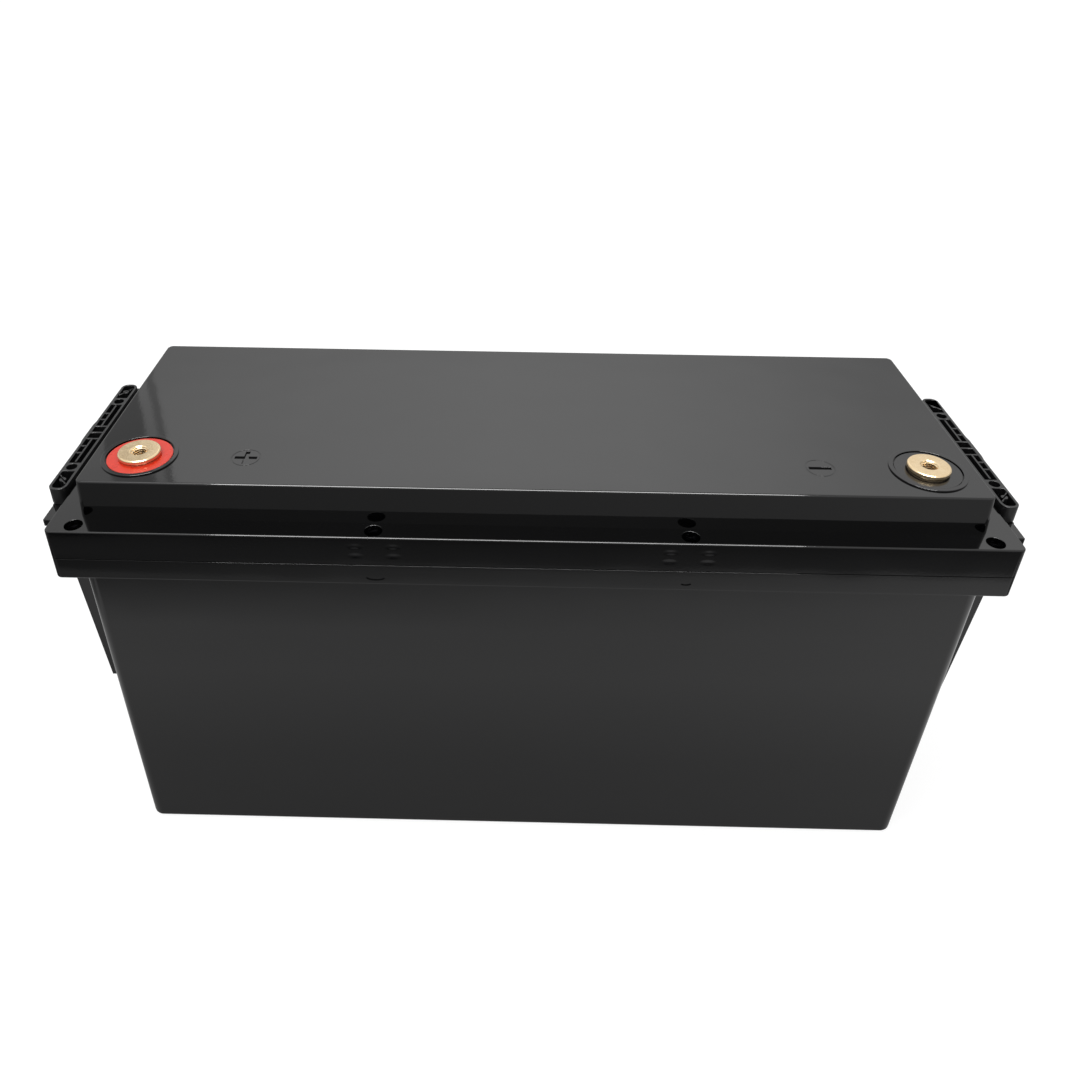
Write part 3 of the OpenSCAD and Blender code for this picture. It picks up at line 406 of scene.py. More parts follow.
head_foot = flange_top - pocket_depth
head_top = head_foot + 2.8
screw_tip, tip_chamfer, shank_radius = head_foot - 19, 1.2, 2
arm_reach, arm_half = 1.9, 0.4
bm = bmesh.new()
turned(bm, [
    (0, screw_tip), (1.1, screw_tip), (shank_radius, screw_tip + tip_chamfer),
    (shank_radius, head_foot), (3.8, head_foot), (3.8, head_foot + 1.3), (3.6, head_foot + 2.0),
    (3.1, head_foot + 2.5), (2.5, head_top), (0, head_top)], steps=48)
screw = settle(bm, "screw")
for turn in (0, 90):
    bm = bmesh.new()
    arm = block(
        bm, (-arm_reach, arm_reach), (-arm_half, arm_half), (head_foot + 1.0, head_top + 0.2),
        grow=0.25)
    bmesh.ops.rotate(bm, verts=arm, matrix=Matrix.Rotation(math.radians(turn), 3, "Z"))
    carve(screw, bm)

# Each screw has come to rest at a turn of its own.
turn_between = math.radians(37)
bm = bmesh.new()
for number, (x, y) in enumerate(screw_places):
    before = len(bm.verts)
    bm.from_mesh(screw.data)
    added = bm.verts[before:]
    bmesh.ops.rotate(bm, verts=added, matrix=Matrix.Rotation(turn_between * number, 3, "Z"))
    bmesh.ops.translate(bm, verts=added, vec=(x * MM, y * MM, 0))
bpy.data.objects.remove(screw)
screws = settle(bm, "lid_screws_cross", unit=1.0)
soften(screws, [(0.12, level(head_top)), (0.12, level(head_foot))], segments=2)

# Steel with black zinc: a metal that has gone nearly black, with a satin sheen and paler
# worn spots where the bit has turned.
black_zinc, tree, place = begin_material("steel with black zinc")
wear = add(
    tree, "TexNoise", {"Vector": place, "Scale": 1 / 0.0012, "Detail": 5.0, "Roughness": 0.7})
worn = add(tree, "MapRange", {"Value": wear.outputs["Fac"], "From Min": 0.6, "From Max": 0.75})
tone = add(
    tree, "Mix", {0: worn.outputs["Result"], 6: linear("#1f1f22"), 7: linear("#4a4a4e")},
    data_type="RGBA")
dulled = add(tree, "MapRange", {"Value": wear.outputs["Fac"], "To Min": 0.28, "To Max": 0.5})
pits = add(tree, "Bump", {"Height": wear.outputs["Fac"], "Strength": 0.2, "Distance": 0.00005})
end_material(tree, tone, dulled, pits, Metallic=1.0)
dress(screws, "pack", "screw_steel", black_zinc, "lid_screws")

# ---------------- coloured discs
# A nylon disc lies in the recess under each terminal's head and tells the poles apart: red
# for plus and black for minus. Both are injection moulded.

disc_foot, disc_top = lid_top - recess_depth, lid_top + 0.2
disc_inner, disc_outer = 8.1, 16.5

# Nylon moulded: strong colour with a satin surface, a faint mottle from the pigment and a
# fine grain. The black one is glossier.
for x, name, tint, deep, bright, gloss in (
        (-terminal_x, "positive", "red", "#c3250f", "#d8331a", (0.22, 0.36)),
        (terminal_x, "negative", "black", "#0a0a0b", "#131314", (0.14, 0.24))):
    bm = bmesh.new()
    turned(bm, [
        (disc_inner, disc_foot), (disc_outer, disc_foot), (disc_outer, disc_top),
        (disc_inner, disc_top), (disc_inner, disc_foot)], x, terminal_y)
    disc = settle(bm, name + "_disc_moulding")
    soften(disc, [(0.22, level(disc_top)), (0.1, level(disc_foot))], segments=3)

    nylon, tree, place = begin_material("nylon moulded " + tint)
    pigment = add(tree, "TexNoise", {"Vector": place, "Scale": 1 / 0.004, "Detail": 4.0})
    colour = add(
        tree, "Mix", {0: pigment.outputs["Fac"], 6: linear(deep), 7: linear(bright)},
        data_type="RGBA")
    grit = add(tree, "TexNoise", {"Vector": place, "Scale": 1 / 0.0004, "Detail": 2.0})
    satin = add(
        tree, "MapRange", {"Value": pigment.outputs["Fac"], "To Min": gloss[0], "To Max": gloss[1]})
    skin = add(tree, "Bump", {"Height": grit.outputs["Fac"], "Strength": 0.12, "Distance": 0.00004})
    end_material(tree, colour, satin, skin, IOR=1.53)
    dress(disc, "pack", tint + "_disc", nylon, name + "_disc")

# ---------------- terminals
# Two brass terminals, turned from bar: a flat head with a narrower foot, a body that goes
# through the lid, and a tapped M8 hole with a chamfered mouth.

thread_pitch, thread_root, thread_crest = 1.25, 3.95, 3.4
root_end, crest_end = 0.15, 0.45
mouth_radius, hole_depth = 4.5, 17
head_radius, head_height, head_chamfer = 10.75, 3.2, 0.6
foot_height, foot_step, stem_radius, stem_chamfer = 1, 1, 8, 0.6
terminal_top = disc_top + head_height
thread_top = terminal_top - (mouth_radius - thread_root)
thread_foot = terminal_top - hole_depth
stem_foot = disc_top - 18.5


def tapped_hole(bm, x, y):
    """A helical thread in a hole, closed at its foot and chamfered at its mouth."""
    flank = (thread_root - thread_crest) * math.tan(math.radians(30))
    steps = 48
    turns = math.ceil((thread_top - thread_foot) / thread_pitch) + 2
    start = thread_top + thread_pitch
    tooth = (
        (thread_root, 0), (thread_root, -root_end), (thread_crest, -root_end - flank),
        (thread_crest, -crest_end - flank), (thread_root, -crest_end - 2 * flank),
        (thread_root, -thread_pitch))
    points = [bm.verts.new((x + radius, y, start + z)) for radius, z in tooth]
    edges = [bm.edges.new(pair) for pair in zip(points, points[1:])]
    bmesh.ops.spin(
        bm, geom=points + edges, cent=(x, y, 0), axis=(0, 0, 1), angle=2 * math.pi * turns,
        dvec=(0, 0, -thread_pitch / steps), steps=steps * turns)
    bmesh.ops.remove_doubles(bm, verts=bm.verts[:], dist=0.001)
    for height, way in ((thread_top, 1), (thread_foot, -1)):
        bmesh.ops.bisect_plane(
            bm, geom=bm.verts[:] + bm.edges[:] + bm.faces[:], plane_co=(0, 0, height),
            plane_no=(0, 0, way), clear_outer=True)
    axis = Vector((x, y))
    for vert in bm.verts:
        from_axis = vert.co.xy - axis
        mouth = mouth_radius - (terminal_top - vert.co.z)
        if from_axis.length < mouth:
            vert.co.xy = axis + from_axis.normalized() * mouth
    rim, floor_edges = (
        [e for e in bm.edges if e.is_boundary and all(abs(v.co.z - z) < 0.01 for v in e.verts)]
        for z in (thread_top, thread_foot))
    bmesh.ops.holes_fill(bm, edges=floor_edges)
    raised = bmesh.ops.extrude_edge_only(bm, edges=rim)["geom"]
    for vert in (g for g in raised if isinstance(g, bmesh.types.BMVert)):
        vert.co.xy = axis + (vert.co.xy - axis).normalized() * mouth_radius
        vert.co.z = terminal_top


terminals = []
for x, name in ((-terminal_x, "positive"), (terminal_x, "negative")):
    bm = bmesh.new()
    tapped_hole(bm, x, terminal_y)
    turned(bm, [
        (mouth_radius + 0.6, terminal_top), (head_radius - head_chamfer, terminal_top),
        (head_radius, terminal_top - head_chamfer), (head_radius, disc_top + foot_height),
        (head_radius - foot_step, disc_top + foot_height), (head_radius - foot_step, disc_top),
        (stem_radius, disc_top), (stem_radius, stem_foot + stem_chamfer),
        (stem_radius - stem_chamfer, stem_foot), (0, stem_foot)], x, terminal_y)
    inner = [e for e in bm.edges if e.is_boundary and all(
        abs(v.co.z - terminal_top) < 0.01
        and (v.co.xy - Vector((x, terminal_y))).length < mouth_radius + 1 for v in e.verts)]
    bmesh.ops.triangle_fill(bm, edges=inner, use_beauty=True, normal=(0, 0, 1))
    terminal = settle(bm, name + "_terminal_turned")
    soften(terminal, [
        (0.3, both(level(terminal_top),
                   lambda a, b: abs(a.y - terminal_y) + abs(abs(a.x) - terminal_x) > 7)),
        (0.12, level(terminal_top)),
        (0.25, level(terminal_top - head_chamfer)),
        (0.2, level(disc_top + foot_height)),
        (0.2, level(disc_top)),
    ], segments=3)
    terminals.append(terminal)

# Brass turned: a pale yellow metal. The tool leaves fine rings about 0.3 mm apart, drawn
# here a little deeper than they are, and handling leaves it slightly clouded.
brass, tree, place = begin_material("brass turned")
axes = add(tree, "SeparateXYZ", {"Vector": place})
across = add(tree, "Math", {0: axes.outputs["X"]}, operation="ABSOLUTE")
off_x = add(tree, "Math", {0: across.outputs[0], 1: terminal_x * MM}, operation="SUBTRACT")
off_y = add(tree, "Math", {0: axes.outputs["Y"], 1: terminal_y * MM}, operation="SUBTRACT")
flat = add(tree, "CombineXYZ", {"X": off_x.outputs[0], "Y": off_y.outputs[0]})
radius = add(tree, "VectorMath", {0: flat.outputs[0]}, operation="LENGTH")
rings = add(
    tree, "TexNoise", {"W": radius.outputs["Value"], "Scale": 1 / 0.0003, "Detail": 2.0},
    noise_dimensions="1D")
bands = add(
    tree, "TexNoise", {"W": axes.outputs["Z"], "Scale": 1 / 0.0005, "Detail": 2.0},
    noise_dimensions="1D")
marks = add(tree, "Math", {0: rings.outputs["Fac"], 1: bands.outputs["Fac"]}, operation="ADD")
turned_bump = add(tree, "Bump", {"Height": marks.outputs[0], "Strength": 0.35, "Distance": 0.00003})
cloud = add(tree, "TexNoise", {"Vector": place, "Scale": 1 / 0.003, "Detail": 5.0})
gold = add(
    tree, "Mix", {0: cloud.outputs["Fac"], 6: linear("#d9bd92"), 7: linear("#eed9b4")},
    data_type="RGBA")
polish = add(tree, "MapRange", {"Value": cloud.outputs["Fac"], "To Min": 0.14, "To Max": 0.26})
end_material(tree, gold, polish, turned_bump, Metallic=1.0)
for terminal, name in zip(terminals, ("positive_terminal", "negative_terminal")):
    dress(terminal, "pack", "brass", brass, name)


def finish(material, *names):
    """Gives a finish to CAD nodes whose shapes are right as they are."""
    for name in names:
        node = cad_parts[name]
        node.data.materials.clear()
        node.data.materials.append(material)


finish(brass, "terminal_nuts")

# ---------------- handles
# Each handle is one ABS moulding: a ribbed grip, open at the top, and two slotted legs that
# slide in the sleeves.

grip_top, pocket_floor = 226, 218
handles = []
for name, body in (("handle_left", "left_handle"), ("handle_right", "right_handle")):
    bm = bmesh.new()
    bm.from_mesh(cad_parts[name].data)
    bmesh.ops.remove_doubles(bm, verts=bm.verts[:], dist=0.00001)
    bmesh.ops.dissolve_degenerate(bm, dist=0.00001, edges=bm.edges[:])
    bmesh.ops.dissolve_limit(
        bm, angle_limit=math.radians(0.5), verts=bm.verts[:], edges=bm.edges[:])
    bmesh.ops.dissolve_degenerate(bm, dist=0.00001, edges=bm.edges[:])
    handle = settle(bm, name + "_moulding", unit=1.0)
    soften(handle, [
        (0.3, level(grip_top)),
        (0.4, level(seat_z)),
        (0.3, level(pocket_floor)),
        (0.3, lambda a, b: abs(a.z - b.z) > 20),
    ], segments=3)
    handles.append((handle, body, name))

# ABS moulded satin: the same black as the case with a duller, faintly mottled skin from an
# etched mould.
abs_satin, tree, place = begin_material("ABS moulded satin")
etch = add(
    tree, "TexNoise", {"Vector": place, "Scale": 1 / 0.0009, "Detail": 4.0, "Roughness": 0.65})
flow = add(tree, "TexNoise", {"Vector": place, "Scale": 1 / 0.012, "Detail": 2.0})
shade = add(
    tree, "Mix", {0: flow.outputs["Fac"], 6: linear("#0b0b0c"), 7: linear("#141415")},
    data_type="RGBA")
dull = add(tree, "MapRange", {"Value": etch.outputs["Fac"], "To Min": 0.22, "To Max": 0.42})
scales = add(tree, "Bump", {"Height": etch.outputs["Fac"], "Strength": 0.15, "Distance": 0.0001})
end_material(tree, shade, dull, scales, IOR=1.53)
for handle, body, name in handles:
    dress(handle, body, "handle_abs", abs_satin, name)

# ---------------- seals
# A rubber cord seals the lid to the case, and a rubber ring seals each terminal to the lid.
# Both are moulded, and are squeezed when the screws and nuts are tightened.

# EPDM rubber: a dead black with a grey bloom, matt all over, and a slight orange-peel skin.
epdm, tree, place = begin_material("EPDM rubber")
bloom = add(
    tree, "TexNoise", {"Vector": place, "Scale": 1 / 0.006, "Detail": 5.0, "Roughness": 0.6})
greyed = add(
    tree, "Mix", {0: bloom.outputs["Fac"], 6: linear("#141415"), 7: linear("#262628")},
    data_type="RGBA")
peel = add(tree, "TexNoise", {"Vector": place, "Scale": 1 / 0.0005, "Detail": 2.0})
matt = add(tree, "MapRange", {"Value": bloom.outputs["Fac"], "To Min": 0.62, "To Max": 0.85})
peel_bump = add(tree, "Bump", {"Height": peel.outputs["Fac"], "Strength": 0.3, "Distance": 0.00008})
end_material(tree, greyed, matt, peel_bump, IOR=1.52)
finish(epdm, "lid_gasket", "terminal_seals")

# ---------------- screw inserts
# Brass inserts in the case's flange take the lid screws. They are turned, knurled and
# pressed in while warm.

# Brass knurled: yellow metal with a diamond pattern 0.8 mm wide, darker in the cuts.
knurled, tree, place = begin_material("brass knurled")
axes = add(tree, "SeparateXYZ", {"Vector": place})
rise = add(tree, "Math", {0: axes.outputs["X"], 1: axes.outputs["Z"]}, operation="ADD")
fall = add(tree, "Math", {0: axes.outputs["Y"], 1: axes.outputs["Z"]}, operation="SUBTRACT")
weave = add(tree, "CombineXYZ", {"X": rise.outputs[0], "Y": fall.outputs[0]})
diamonds = add(
    tree, "TexVoronoi", {"Vector": weave.outputs[0], "Scale": 1 / 0.0008}, distance="CHEBYCHEV")
yellow = add(
    tree, "Mix", {0: diamonds.outputs["Distance"], 6: linear("#d9b06a"), 7: linear("#8a6430")},
    data_type="RGBA")
worn = add(tree, "MapRange", {"Value": diamonds.outputs["Distance"], "To Min": 0.2, "To Max": 0.45})
cuts = add(
    tree, "Bump", {"Height": diamonds.outputs["Distance"], "Strength": 0.5, "Distance": 0.0001},
    invert=True)
end_material(tree, yellow, worn, cuts, Metallic=1.0)
finish(knurled, "screw_inserts")

# ---------------- plated steel fasteners
# Pins through the handle legs, washers, nuts, screws and bolts are turned or cold headed
# from steel, and are plated with bright zinc.

# Steel zinc plated: a bluish silver with the small spangle of the plating and dull spots.
zinc, tree, place = begin_material("steel zinc plated")
spangle = add(tree, "TexVoronoi", {"Vector": place, "Scale": 1 / 0.0007})
silver = add(
    tree, "Mix", {0: spangle.outputs["Distance"], 6: linear("#c3c7cc"), 7: linear("#9ba0a8")},
    data_type="RGBA")
spots = add(tree, "TexNoise", {"Vector": place, "Scale": 1 / 0.002, "Detail": 5.0})
dulled = add(tree, "MapRange", {"Value": spots.outputs["Fac"], "To Min": 0.2, "To Max": 0.42})
plated = add(tree, "Bump", {"Height": spots.outputs["Fac"], "Strength": 0.1, "Distance": 0.00005})
end_material(tree, silver, dulled, plated, Metallic=1.0)
finish(zinc, "handle_pins", "terminal_washers", "busbar_nuts", "bms_screws", "bms_bolts")

# ---------------- cells
# Four prismatic cells stand in a row. Each can is wrapped in shrunk film, with turned
# aluminium posts and a vent on its top.

# PET film blue: a clear blue skin over aluminium, glossy, with the long creases of shrinking.
film, tree, place = begin_material("PET film blue")
stretched = add(tree, "Mapping", {"Vector": place, "Scale": (1 / 0.03, 1 / 0.03, 1 / 0.15)})
creases = add(tree, "TexNoise", {"Vector": stretched.outputs[0], "Scale": 1.0, "Detail": 4.0})
blue = add(
    tree, "Mix", {0: creases.outputs["Fac"], 6: linear("#123f8a"), 7: linear("#1f5cb4")},
    data_type="RGBA")
slack = add(tree, "MapRange", {"Value": creases.outputs["Fac"], "To Min": 0.12, "To Max": 0.28})
crease_bump = add(
    tree, "Bump", {"Height": creases.outputs["Fac"], "Strength": 0.35, "Distance": 0.0006})
end_material(tree, blue, slack, crease_bump, IOR=1.57, Coat_Weight=0.5, Coat_Roughness=0.06)
finish(film, "cell_1", "cell_2", "cell_3", "cell_4")

# Aluminium turned: pale grey metal with tool rings every 0.25 mm up the posts.
turned_aluminium, tree, place = begin_material("aluminium turned")
axes = add(tree, "SeparateXYZ", {"Vector": place})
tool_rings = add(
    tree, "TexNoise", {"W": axes.outputs["Z"], "Scale": 1 / 0.00025, "Detail": 2.0},
    noise_dimensions="1D")
stain = add(tree, "TexNoise", {"Vector": place, "Scale": 1 / 0.004, "Detail": 4.0})
pale = add(
    tree, "Mix", {0: stain.outputs["Fac"], 6: linear("#d3d6d9"), 7: linear("#b4b8bc")},
    data_type="RGBA")
sheen = add(tree, "MapRange", {"Value": stain.outputs["Fac"], "To Min": 0.18, "To Max": 0.36})
ring_bump = add(
    tree, "Bump", {"Height": tool_rings.outputs["Fac"], "Strength": 0.3, "Distance": 0.00003})
end_material(tree, pale, sheen, ring_bump, Metallic=1.0)
finish(turned_aluminium, "cell_posts", "cell_vents")

# ---------------- plates, straps and pads
# Sheets between the cells and round them insulate the row. Two steel straps hold it
# together, and foam pads wedge it in the case.

# Fibreglass epoxy: yellow-green sheet whose glass weave, 0.6 mm wide, shows through. A wave
# of scale 1 repeats every 0.314 m.
wave = 0.314
glass_epoxy, tree, place = begin_material("fibreglass epoxy")
warp = add(
    tree, "TexWave", {"Vector": place, "Scale": wave / 0.0012, "Distortion": 0.4},
    bands_direction="Z")
weft = add(
    tree, "TexWave", {"Vector": place, "Scale": wave / 0.0012, "Distortion": 0.4},
    bands_direction="DIAGONAL")
cloth = add(tree, "Math", {0: warp.outputs["Fac"], 1: weft.outputs["Fac"]}, operation="MULTIPLY")
resin = add(
    tree, "Mix", {0: cloth.outputs[0], 6: linear("#a89a4e"), 7: linear("#cabf7c")},
    data_type="RGBA")
cured = add(tree, "MapRange", {"Value": cloth.outputs[0], "To Min": 0.3, "To Max": 0.48})
cloth_bump = add(tree, "Bump", {"Height": cloth.outputs[0], "Strength": 0.15, "Distance": 0.00006})
end_material(tree, resin, cured, cloth_bump, IOR=1.55)
finish(glass_epoxy, "cell_separators", "end_plates", "side_plates")

# Steel strap rolled: blue-grey sheet with fine lines along the roll and faint scale.
strap_steel, tree, place = begin_material("steel strap rolled")
along = add(tree, "Mapping", {"Vector": place, "Scale": (1 / 0.08, 1 / 0.08, 1 / 0.0004)})
roll_lines = add(tree, "TexNoise", {"Vector": along.outputs[0], "Scale": 1.0, "Detail": 3.0})
scale_spots = add(tree, "TexNoise", {"Vector": place, "Scale": 1 / 0.005, "Detail": 5.0})
steel = add(
    tree, "Mix", {0: scale_spots.outputs["Fac"], 6: linear("#9a9ea4"), 7: linear("#787c83")},
    data_type="RGBA")
rolled = add(tree, "MapRange", {"Value": roll_lines.outputs["Fac"], "To Min": 0.24, "To Max": 0.44})
line_bump = add(
    tree, "Bump", {"Height": roll_lines.outputs["Fac"], "Strength": 0.2, "Distance": 0.00004})
end_material(tree, steel, rolled, line_bump, Metallic=1.0)
finish(strap_steel, "pack_straps")

# Foam closed cell: dark grey and matt, with bubbles about 1.2 mm wide on its cut faces.
foam, tree, place = begin_material("foam closed cell")
bubbles = add(tree, "TexVoronoi", {"Vector": place, "Scale": 1 / 0.0012})
walls = add(
    tree, "Mix", {0: bubbles.outputs["Distance"], 6: linear("#2a2a2c"), 7: linear("#48484b")},
    data_type="RGBA")
powdery = add(
    tree, "MapRange", {"Value": bubbles.outputs["Distance"], "To Min": 0.95, "To Max": 0.8})
bubble_bump = add(
    tree, "Bump", {"Height": bubbles.outputs["Distance"], "Strength": 0.6, "Distance": 0.0004})
end_material(tree, walls, powdery, bubble_bump, IOR=1.49)
finish(foam, "floor_pad", "side_pads", "end_pad")

# ---------------- busbars and lugs
# Punched copper bars join the cells in series, and crimped lugs end the leads. The bars are
# bolted on, and the lugs are tubes flattened at one end.

# Copper rolled: warm red metal with brown tarnish in clouds and lines along the roll.
copper, tree, place = begin_material("copper rolled")
tarnish = add(
    tree, "TexNoise", {"Vector": place, "Scale": 1 / 0.009, "Detail": 6.0, "Roughness": 0.6})
brown = add(tree, "MapRange", {"Value": tarnish.outputs["Fac"], "From Min": 0.4, "From Max": 0.7})
red_metal = add(
    tree, "Mix", {0: brown.outputs["Result"], 6: linear("#dc8a63"), 7: linear("#96553a")},
    data_type="RGBA")
drawn = add(tree, "Mapping", {"Vector": place, "Scale": (1 / 0.06, 1 / 0.0004, 1 / 0.0004)})
mill_lines = add(tree, "TexNoise", {"Vector": drawn.outputs[0], "Scale": 1.0, "Detail": 3.0})
hazed = add(tree, "MapRange", {"Value": tarnish.outputs["Fac"], "To Min": 0.16, "To Max": 0.42})
mill_bump = add(
    tree, "Bump", {"Height": mill_lines.outputs["Fac"], "Strength": 0.2, "Distance": 0.00004})
end_material(tree, red_metal, hazed, mill_bump, Metallic=1.0)
finish(copper, "busbars", "bms_tabs")

# Tin plated copper: a soft warm silver, satin, with a few rubbed spots where copper shows.
tinned, tree, place = begin_material("tin plated copper")
rubbing = add(
    tree, "TexNoise", {"Vector": place, "Scale": 1 / 0.003, "Detail": 6.0, "Roughness": 0.65})
rubbed = add(
    tree, "MapRange", {"Value": rubbing.outputs["Fac"], "From Min": 0.64, "From Max": 0.74})
tin = add(
    tree, "Mix", {0: rubbed.outputs["Result"], 6: linear("#cfcbc4"), 7: linear("#c08a68")},
    data_type="RGBA")
satin_tin = add(tree, "MapRange", {"Value": rubbing.outputs["Fac"], "To Min": 0.25, "To Max": 0.45})
tin_bump = add(
    tree, "Bump", {"Height": rubbing.outputs["Fac"], "Strength": 0.12, "Distance": 0.00005})
end_material(tree, tin, satin_tin, tin_bump, Metallic=1.0)
finish(tinned, "cable_lugs")

# ---------------- battery management unit
# A circuit board stands on a milled plate at the end of the cells, with two ribbed heat
# sinks and a moulded plug.

# Aluminium milled: light grey with the arcs of a face mill about 2.5 mm apart.
milled, tree, place = begin_material("aluminium milled")
arcs = add(
    tree, "TexWave", {"Vector": place, "Scale": wave / 0.0025, "Distortion": 1.5},
    wave_type="RINGS")
smear = add(tree, "TexNoise", {"Vector": place, "Scale": 1 / 0.01, "Detail": 4.0})
light_grey = add(
    tree, "Mix", {0: smear.outputs["Fac"], 6: linear("#c9ccce"), 7: linear("#a8acaf")},
    data_type="RGBA")
cut_sheen = add(tree, "MapRange", {"Value": arcs.outputs["Fac"], "To Min": 0.22, "To Max": 0.34})
arc_bump = add(tree, "Bump", {"Height": arcs.outputs["Fac"], "Strength": 0.12, "Distance": 0.00005})
end_material(tree, light_grey, cut_sheen, arc_bump, Metallic=1.0)
finish(milled, "bms_plate")

# Aluminium anodised: duller and darker than the plate, with lines from the extrusion die.
anodised, tree, place = begin_material("aluminium anodised")
pulled = add(tree, "Mapping", {"Vector": place, "Scale": (1 / 0.0005, 1 / 0.07, 1 / 0.0005)})
die_lines = add(tree, "TexNoise", {"Vector": pulled.outputs[0], "Scale": 1.0, "Detail": 3.0})
dyed = add(
    tree, "Mix", {0: die_lines.outputs["Fac"], 6: linear("#85888c"), 7: linear("#9ea1a5")},
    data_type="RGBA")
oxide = add(tree, "MapRange", {"Value": die_lines.outputs["Fac"], "To Min": 0.36, "To Max": 0.52})
die_bump = add(
    tree, "Bump", {"Height": die_lines.outputs["Fac"], "Strength": 0.25, "Distance": 0.00005})
end_material(tree, dyed, oxide, die_bump, Metallic=1.0)
finish(anodised, "bms_heatsinks")

# Solder mask green: glossy green over copper tracks, which stand up as paler lines in
# squares of 5 mm, with small joints between them.
solder_mask, tree, place = begin_material("solder mask green")
sideways = add(tree, "SeparateXYZ", {"Vector": place})
board_face = add(tree, "CombineXYZ", {"X": sideways.outputs["Y"], "Y": sideways.outputs["Z"]})
tracks = add(tree, "TexBrick", {
    "Vector": board_face.outputs[0], "Scale": 1 / 0.01, "Mortar Size": 0.04,
    "Color1": linear("#0e5a33"), "Color2": linear("#116b3c"), "Mortar": linear("#2f9a5f")})
joints = add(tree, "TexVoronoi", {"Vector": place, "Scale": 1 / 0.004})
joint = add(
    tree, "MapRange", {"Value": joints.outputs["Distance"], "From Min": 0.16, "From Max": 0.12})
masked = add(
    tree, "Mix", {0: joint.outputs["Result"], 6: tracks.outputs["Color"], 7: linear("#c9cdd0")},
    data_type="RGBA")
lacquer = add(
    tree, "MapRange", {"Value": joints.outputs["Distance"], "To Min": 0.18, "To Max": 0.3})
track_bump = add(
    tree, "Bump", {"Height": tracks.outputs["Fac"], "Strength": 0.3, "Distance": 0.00004})
end_material(tree, masked, lacquer, track_bump, Metallic=joint.outputs["Result"], IOR=1.55)
finish(solder_mask, "bms_board")

# Nylon natural: milky off-white with a satin skin and slow clouding in its depth.
natural_nylon, tree, place = begin_material("nylon natural")
milk = add(tree, "TexNoise", {"Vector": place, "Scale": 1 / 0.005, "Detail": 3.0})
ivory = add(
    tree, "Mix", {0: milk.outputs["Fac"], 6: linear("#ddd8c6"), 7: linear("#eae6d8")},
    data_type="RGBA")
skin = add(tree, "TexNoise", {"Vector": place, "Scale": 1 / 0.0004, "Detail": 2.0})
satin = add(tree, "MapRange", {"Value": milk.outputs["Fac"], "To Min": 0.32, "To Max": 0.48})
skin_bump = add(
    tree, "Bump", {"Height": skin.outputs["Fac"], "Strength": 0.15, "Distance": 0.00004})
end_material(tree, ivory, satin, skin_bump, IOR=1.53, Subsurface_Weight=0.08)
finish(natural_nylon, "bms_connector")

# ---------------- leads
# Stranded copper leads in silicone carry the current, and a braided harness takes the
# voltage of each cell to the board.

# Silicone, red and black: a soft matt sheath with dust on it and fine extrusion lines.
sheaths = {}
for name, deep, dusty in (("red", "#a81d12", "#c0392b"), ("black", "#101011", "#232325")):
    sheath, tree, place = begin_material("silicone " + name)
    dust = add(
        tree, "TexNoise", {"Vector": place, "Scale": 1 / 0.002, "Detail": 5.0, "Roughness": 0.6})
    tone = add(
        tree, "Mix", {0: dust.outputs["Fac"], 6: linear(deep), 7: linear(dusty)}, data_type="RGBA")
    drag = add(tree, "TexNoise", {"Vector": place, "Scale": 1 / 0.0006, "Detail": 2.0})
    soft = add(tree, "MapRange", {"Value": dust.outputs["Fac"], "To Min": 0.42, "To Max": 0.62})
    drag_bump = add(
        tree, "Bump", {"Height": drag.outputs["Fac"], "Strength": 0.2, "Distance": 0.0001})
    end_material(tree, tone, soft, drag_bump, IOR=1.41)
    sheaths[name] = sheath
finish(sheaths["red"], "positive_lead")
finish(sheaths["black"], "negative_lead", "battery_lead")

# Polyester braid: grey-white threads 0.7 mm wide that cross at an angle, matt with dark gaps.
braid, tree, place = begin_material("polyester braid")
one_way = add(
    tree, "TexWave", {"Vector": place, "Scale": wave / 0.0014}, bands_direction="DIAGONAL")
turned_place = add(tree, "Mapping", {"Vector": place, "Rotation": (0, 0, math.pi / 2)})
other_way = add(
    tree, "TexWave", {"Vector": turned_place.outputs[0], "Scale": wave / 0.0014},
    bands_direction="DIAGONAL")
threads = add(
    tree, "Math", {0: one_way.outputs["Fac"], 1: other_way.outputs["Fac"]}, operation="MAXIMUM")
thread_tone = add(
    tree, "Mix", {0: threads.outputs[0], 6: linear("#6f6c64"), 7: linear("#cfccc2")},
    data_type="RGBA")
fibrous = add(tree, "MapRange", {"Value": threads.outputs[0], "To Min": 0.85, "To Max": 0.6})
thread_bump = add(tree, "Bump", {"Height": threads.outputs[0], "Strength": 0.5, "Distance": 0.0002})
end_material(tree, thread_tone, fibrous, thread_bump, IOR=1.54)
finish(braid, "sense_harness")

# ---------------- camera, floor and light
# A white table in a white room, with a softbox above the front and a weak lamp overhead. A
# card and panels, which only reflections show, stand for the rest of the room.

camera = bpy.data.objects.new("camera", bpy.data.cameras.new("camera"))
bpy.context.scene.collection.objects.link(camera)
bpy.context.scene.camera = camera
pitch, yaw, roll = (math.radians(a) for a in (30.760, 0.810, 0.612))
right = Vector((math.cos(yaw), math.sin(yaw), 0))
level_way = Vector((-math.sin(yaw), math.cos(yaw), 0))
back = math.sin(pitch) * Vector((0, 0, 1)) - math.cos(pitch) * level_way
above = math.sin(pitch) * level_way + math.cos(pitch) * Vector((0, 0, 1))
facing = Matrix((
    math.cos(roll) * right + math.sin(roll) * above,
    math.cos(roll) * above - math.sin(roll) * right,
    back)).transposed()
camera.matrix_world = Matrix.Translation((-0.01664, -0.44835, 0.51058)) @ facing.to_4x4()
camera.data.sensor_width = 36
camera.data.lens = 30.943
camera.data.shift_x = 0.04700
camera.data.shift_y = -0.11796
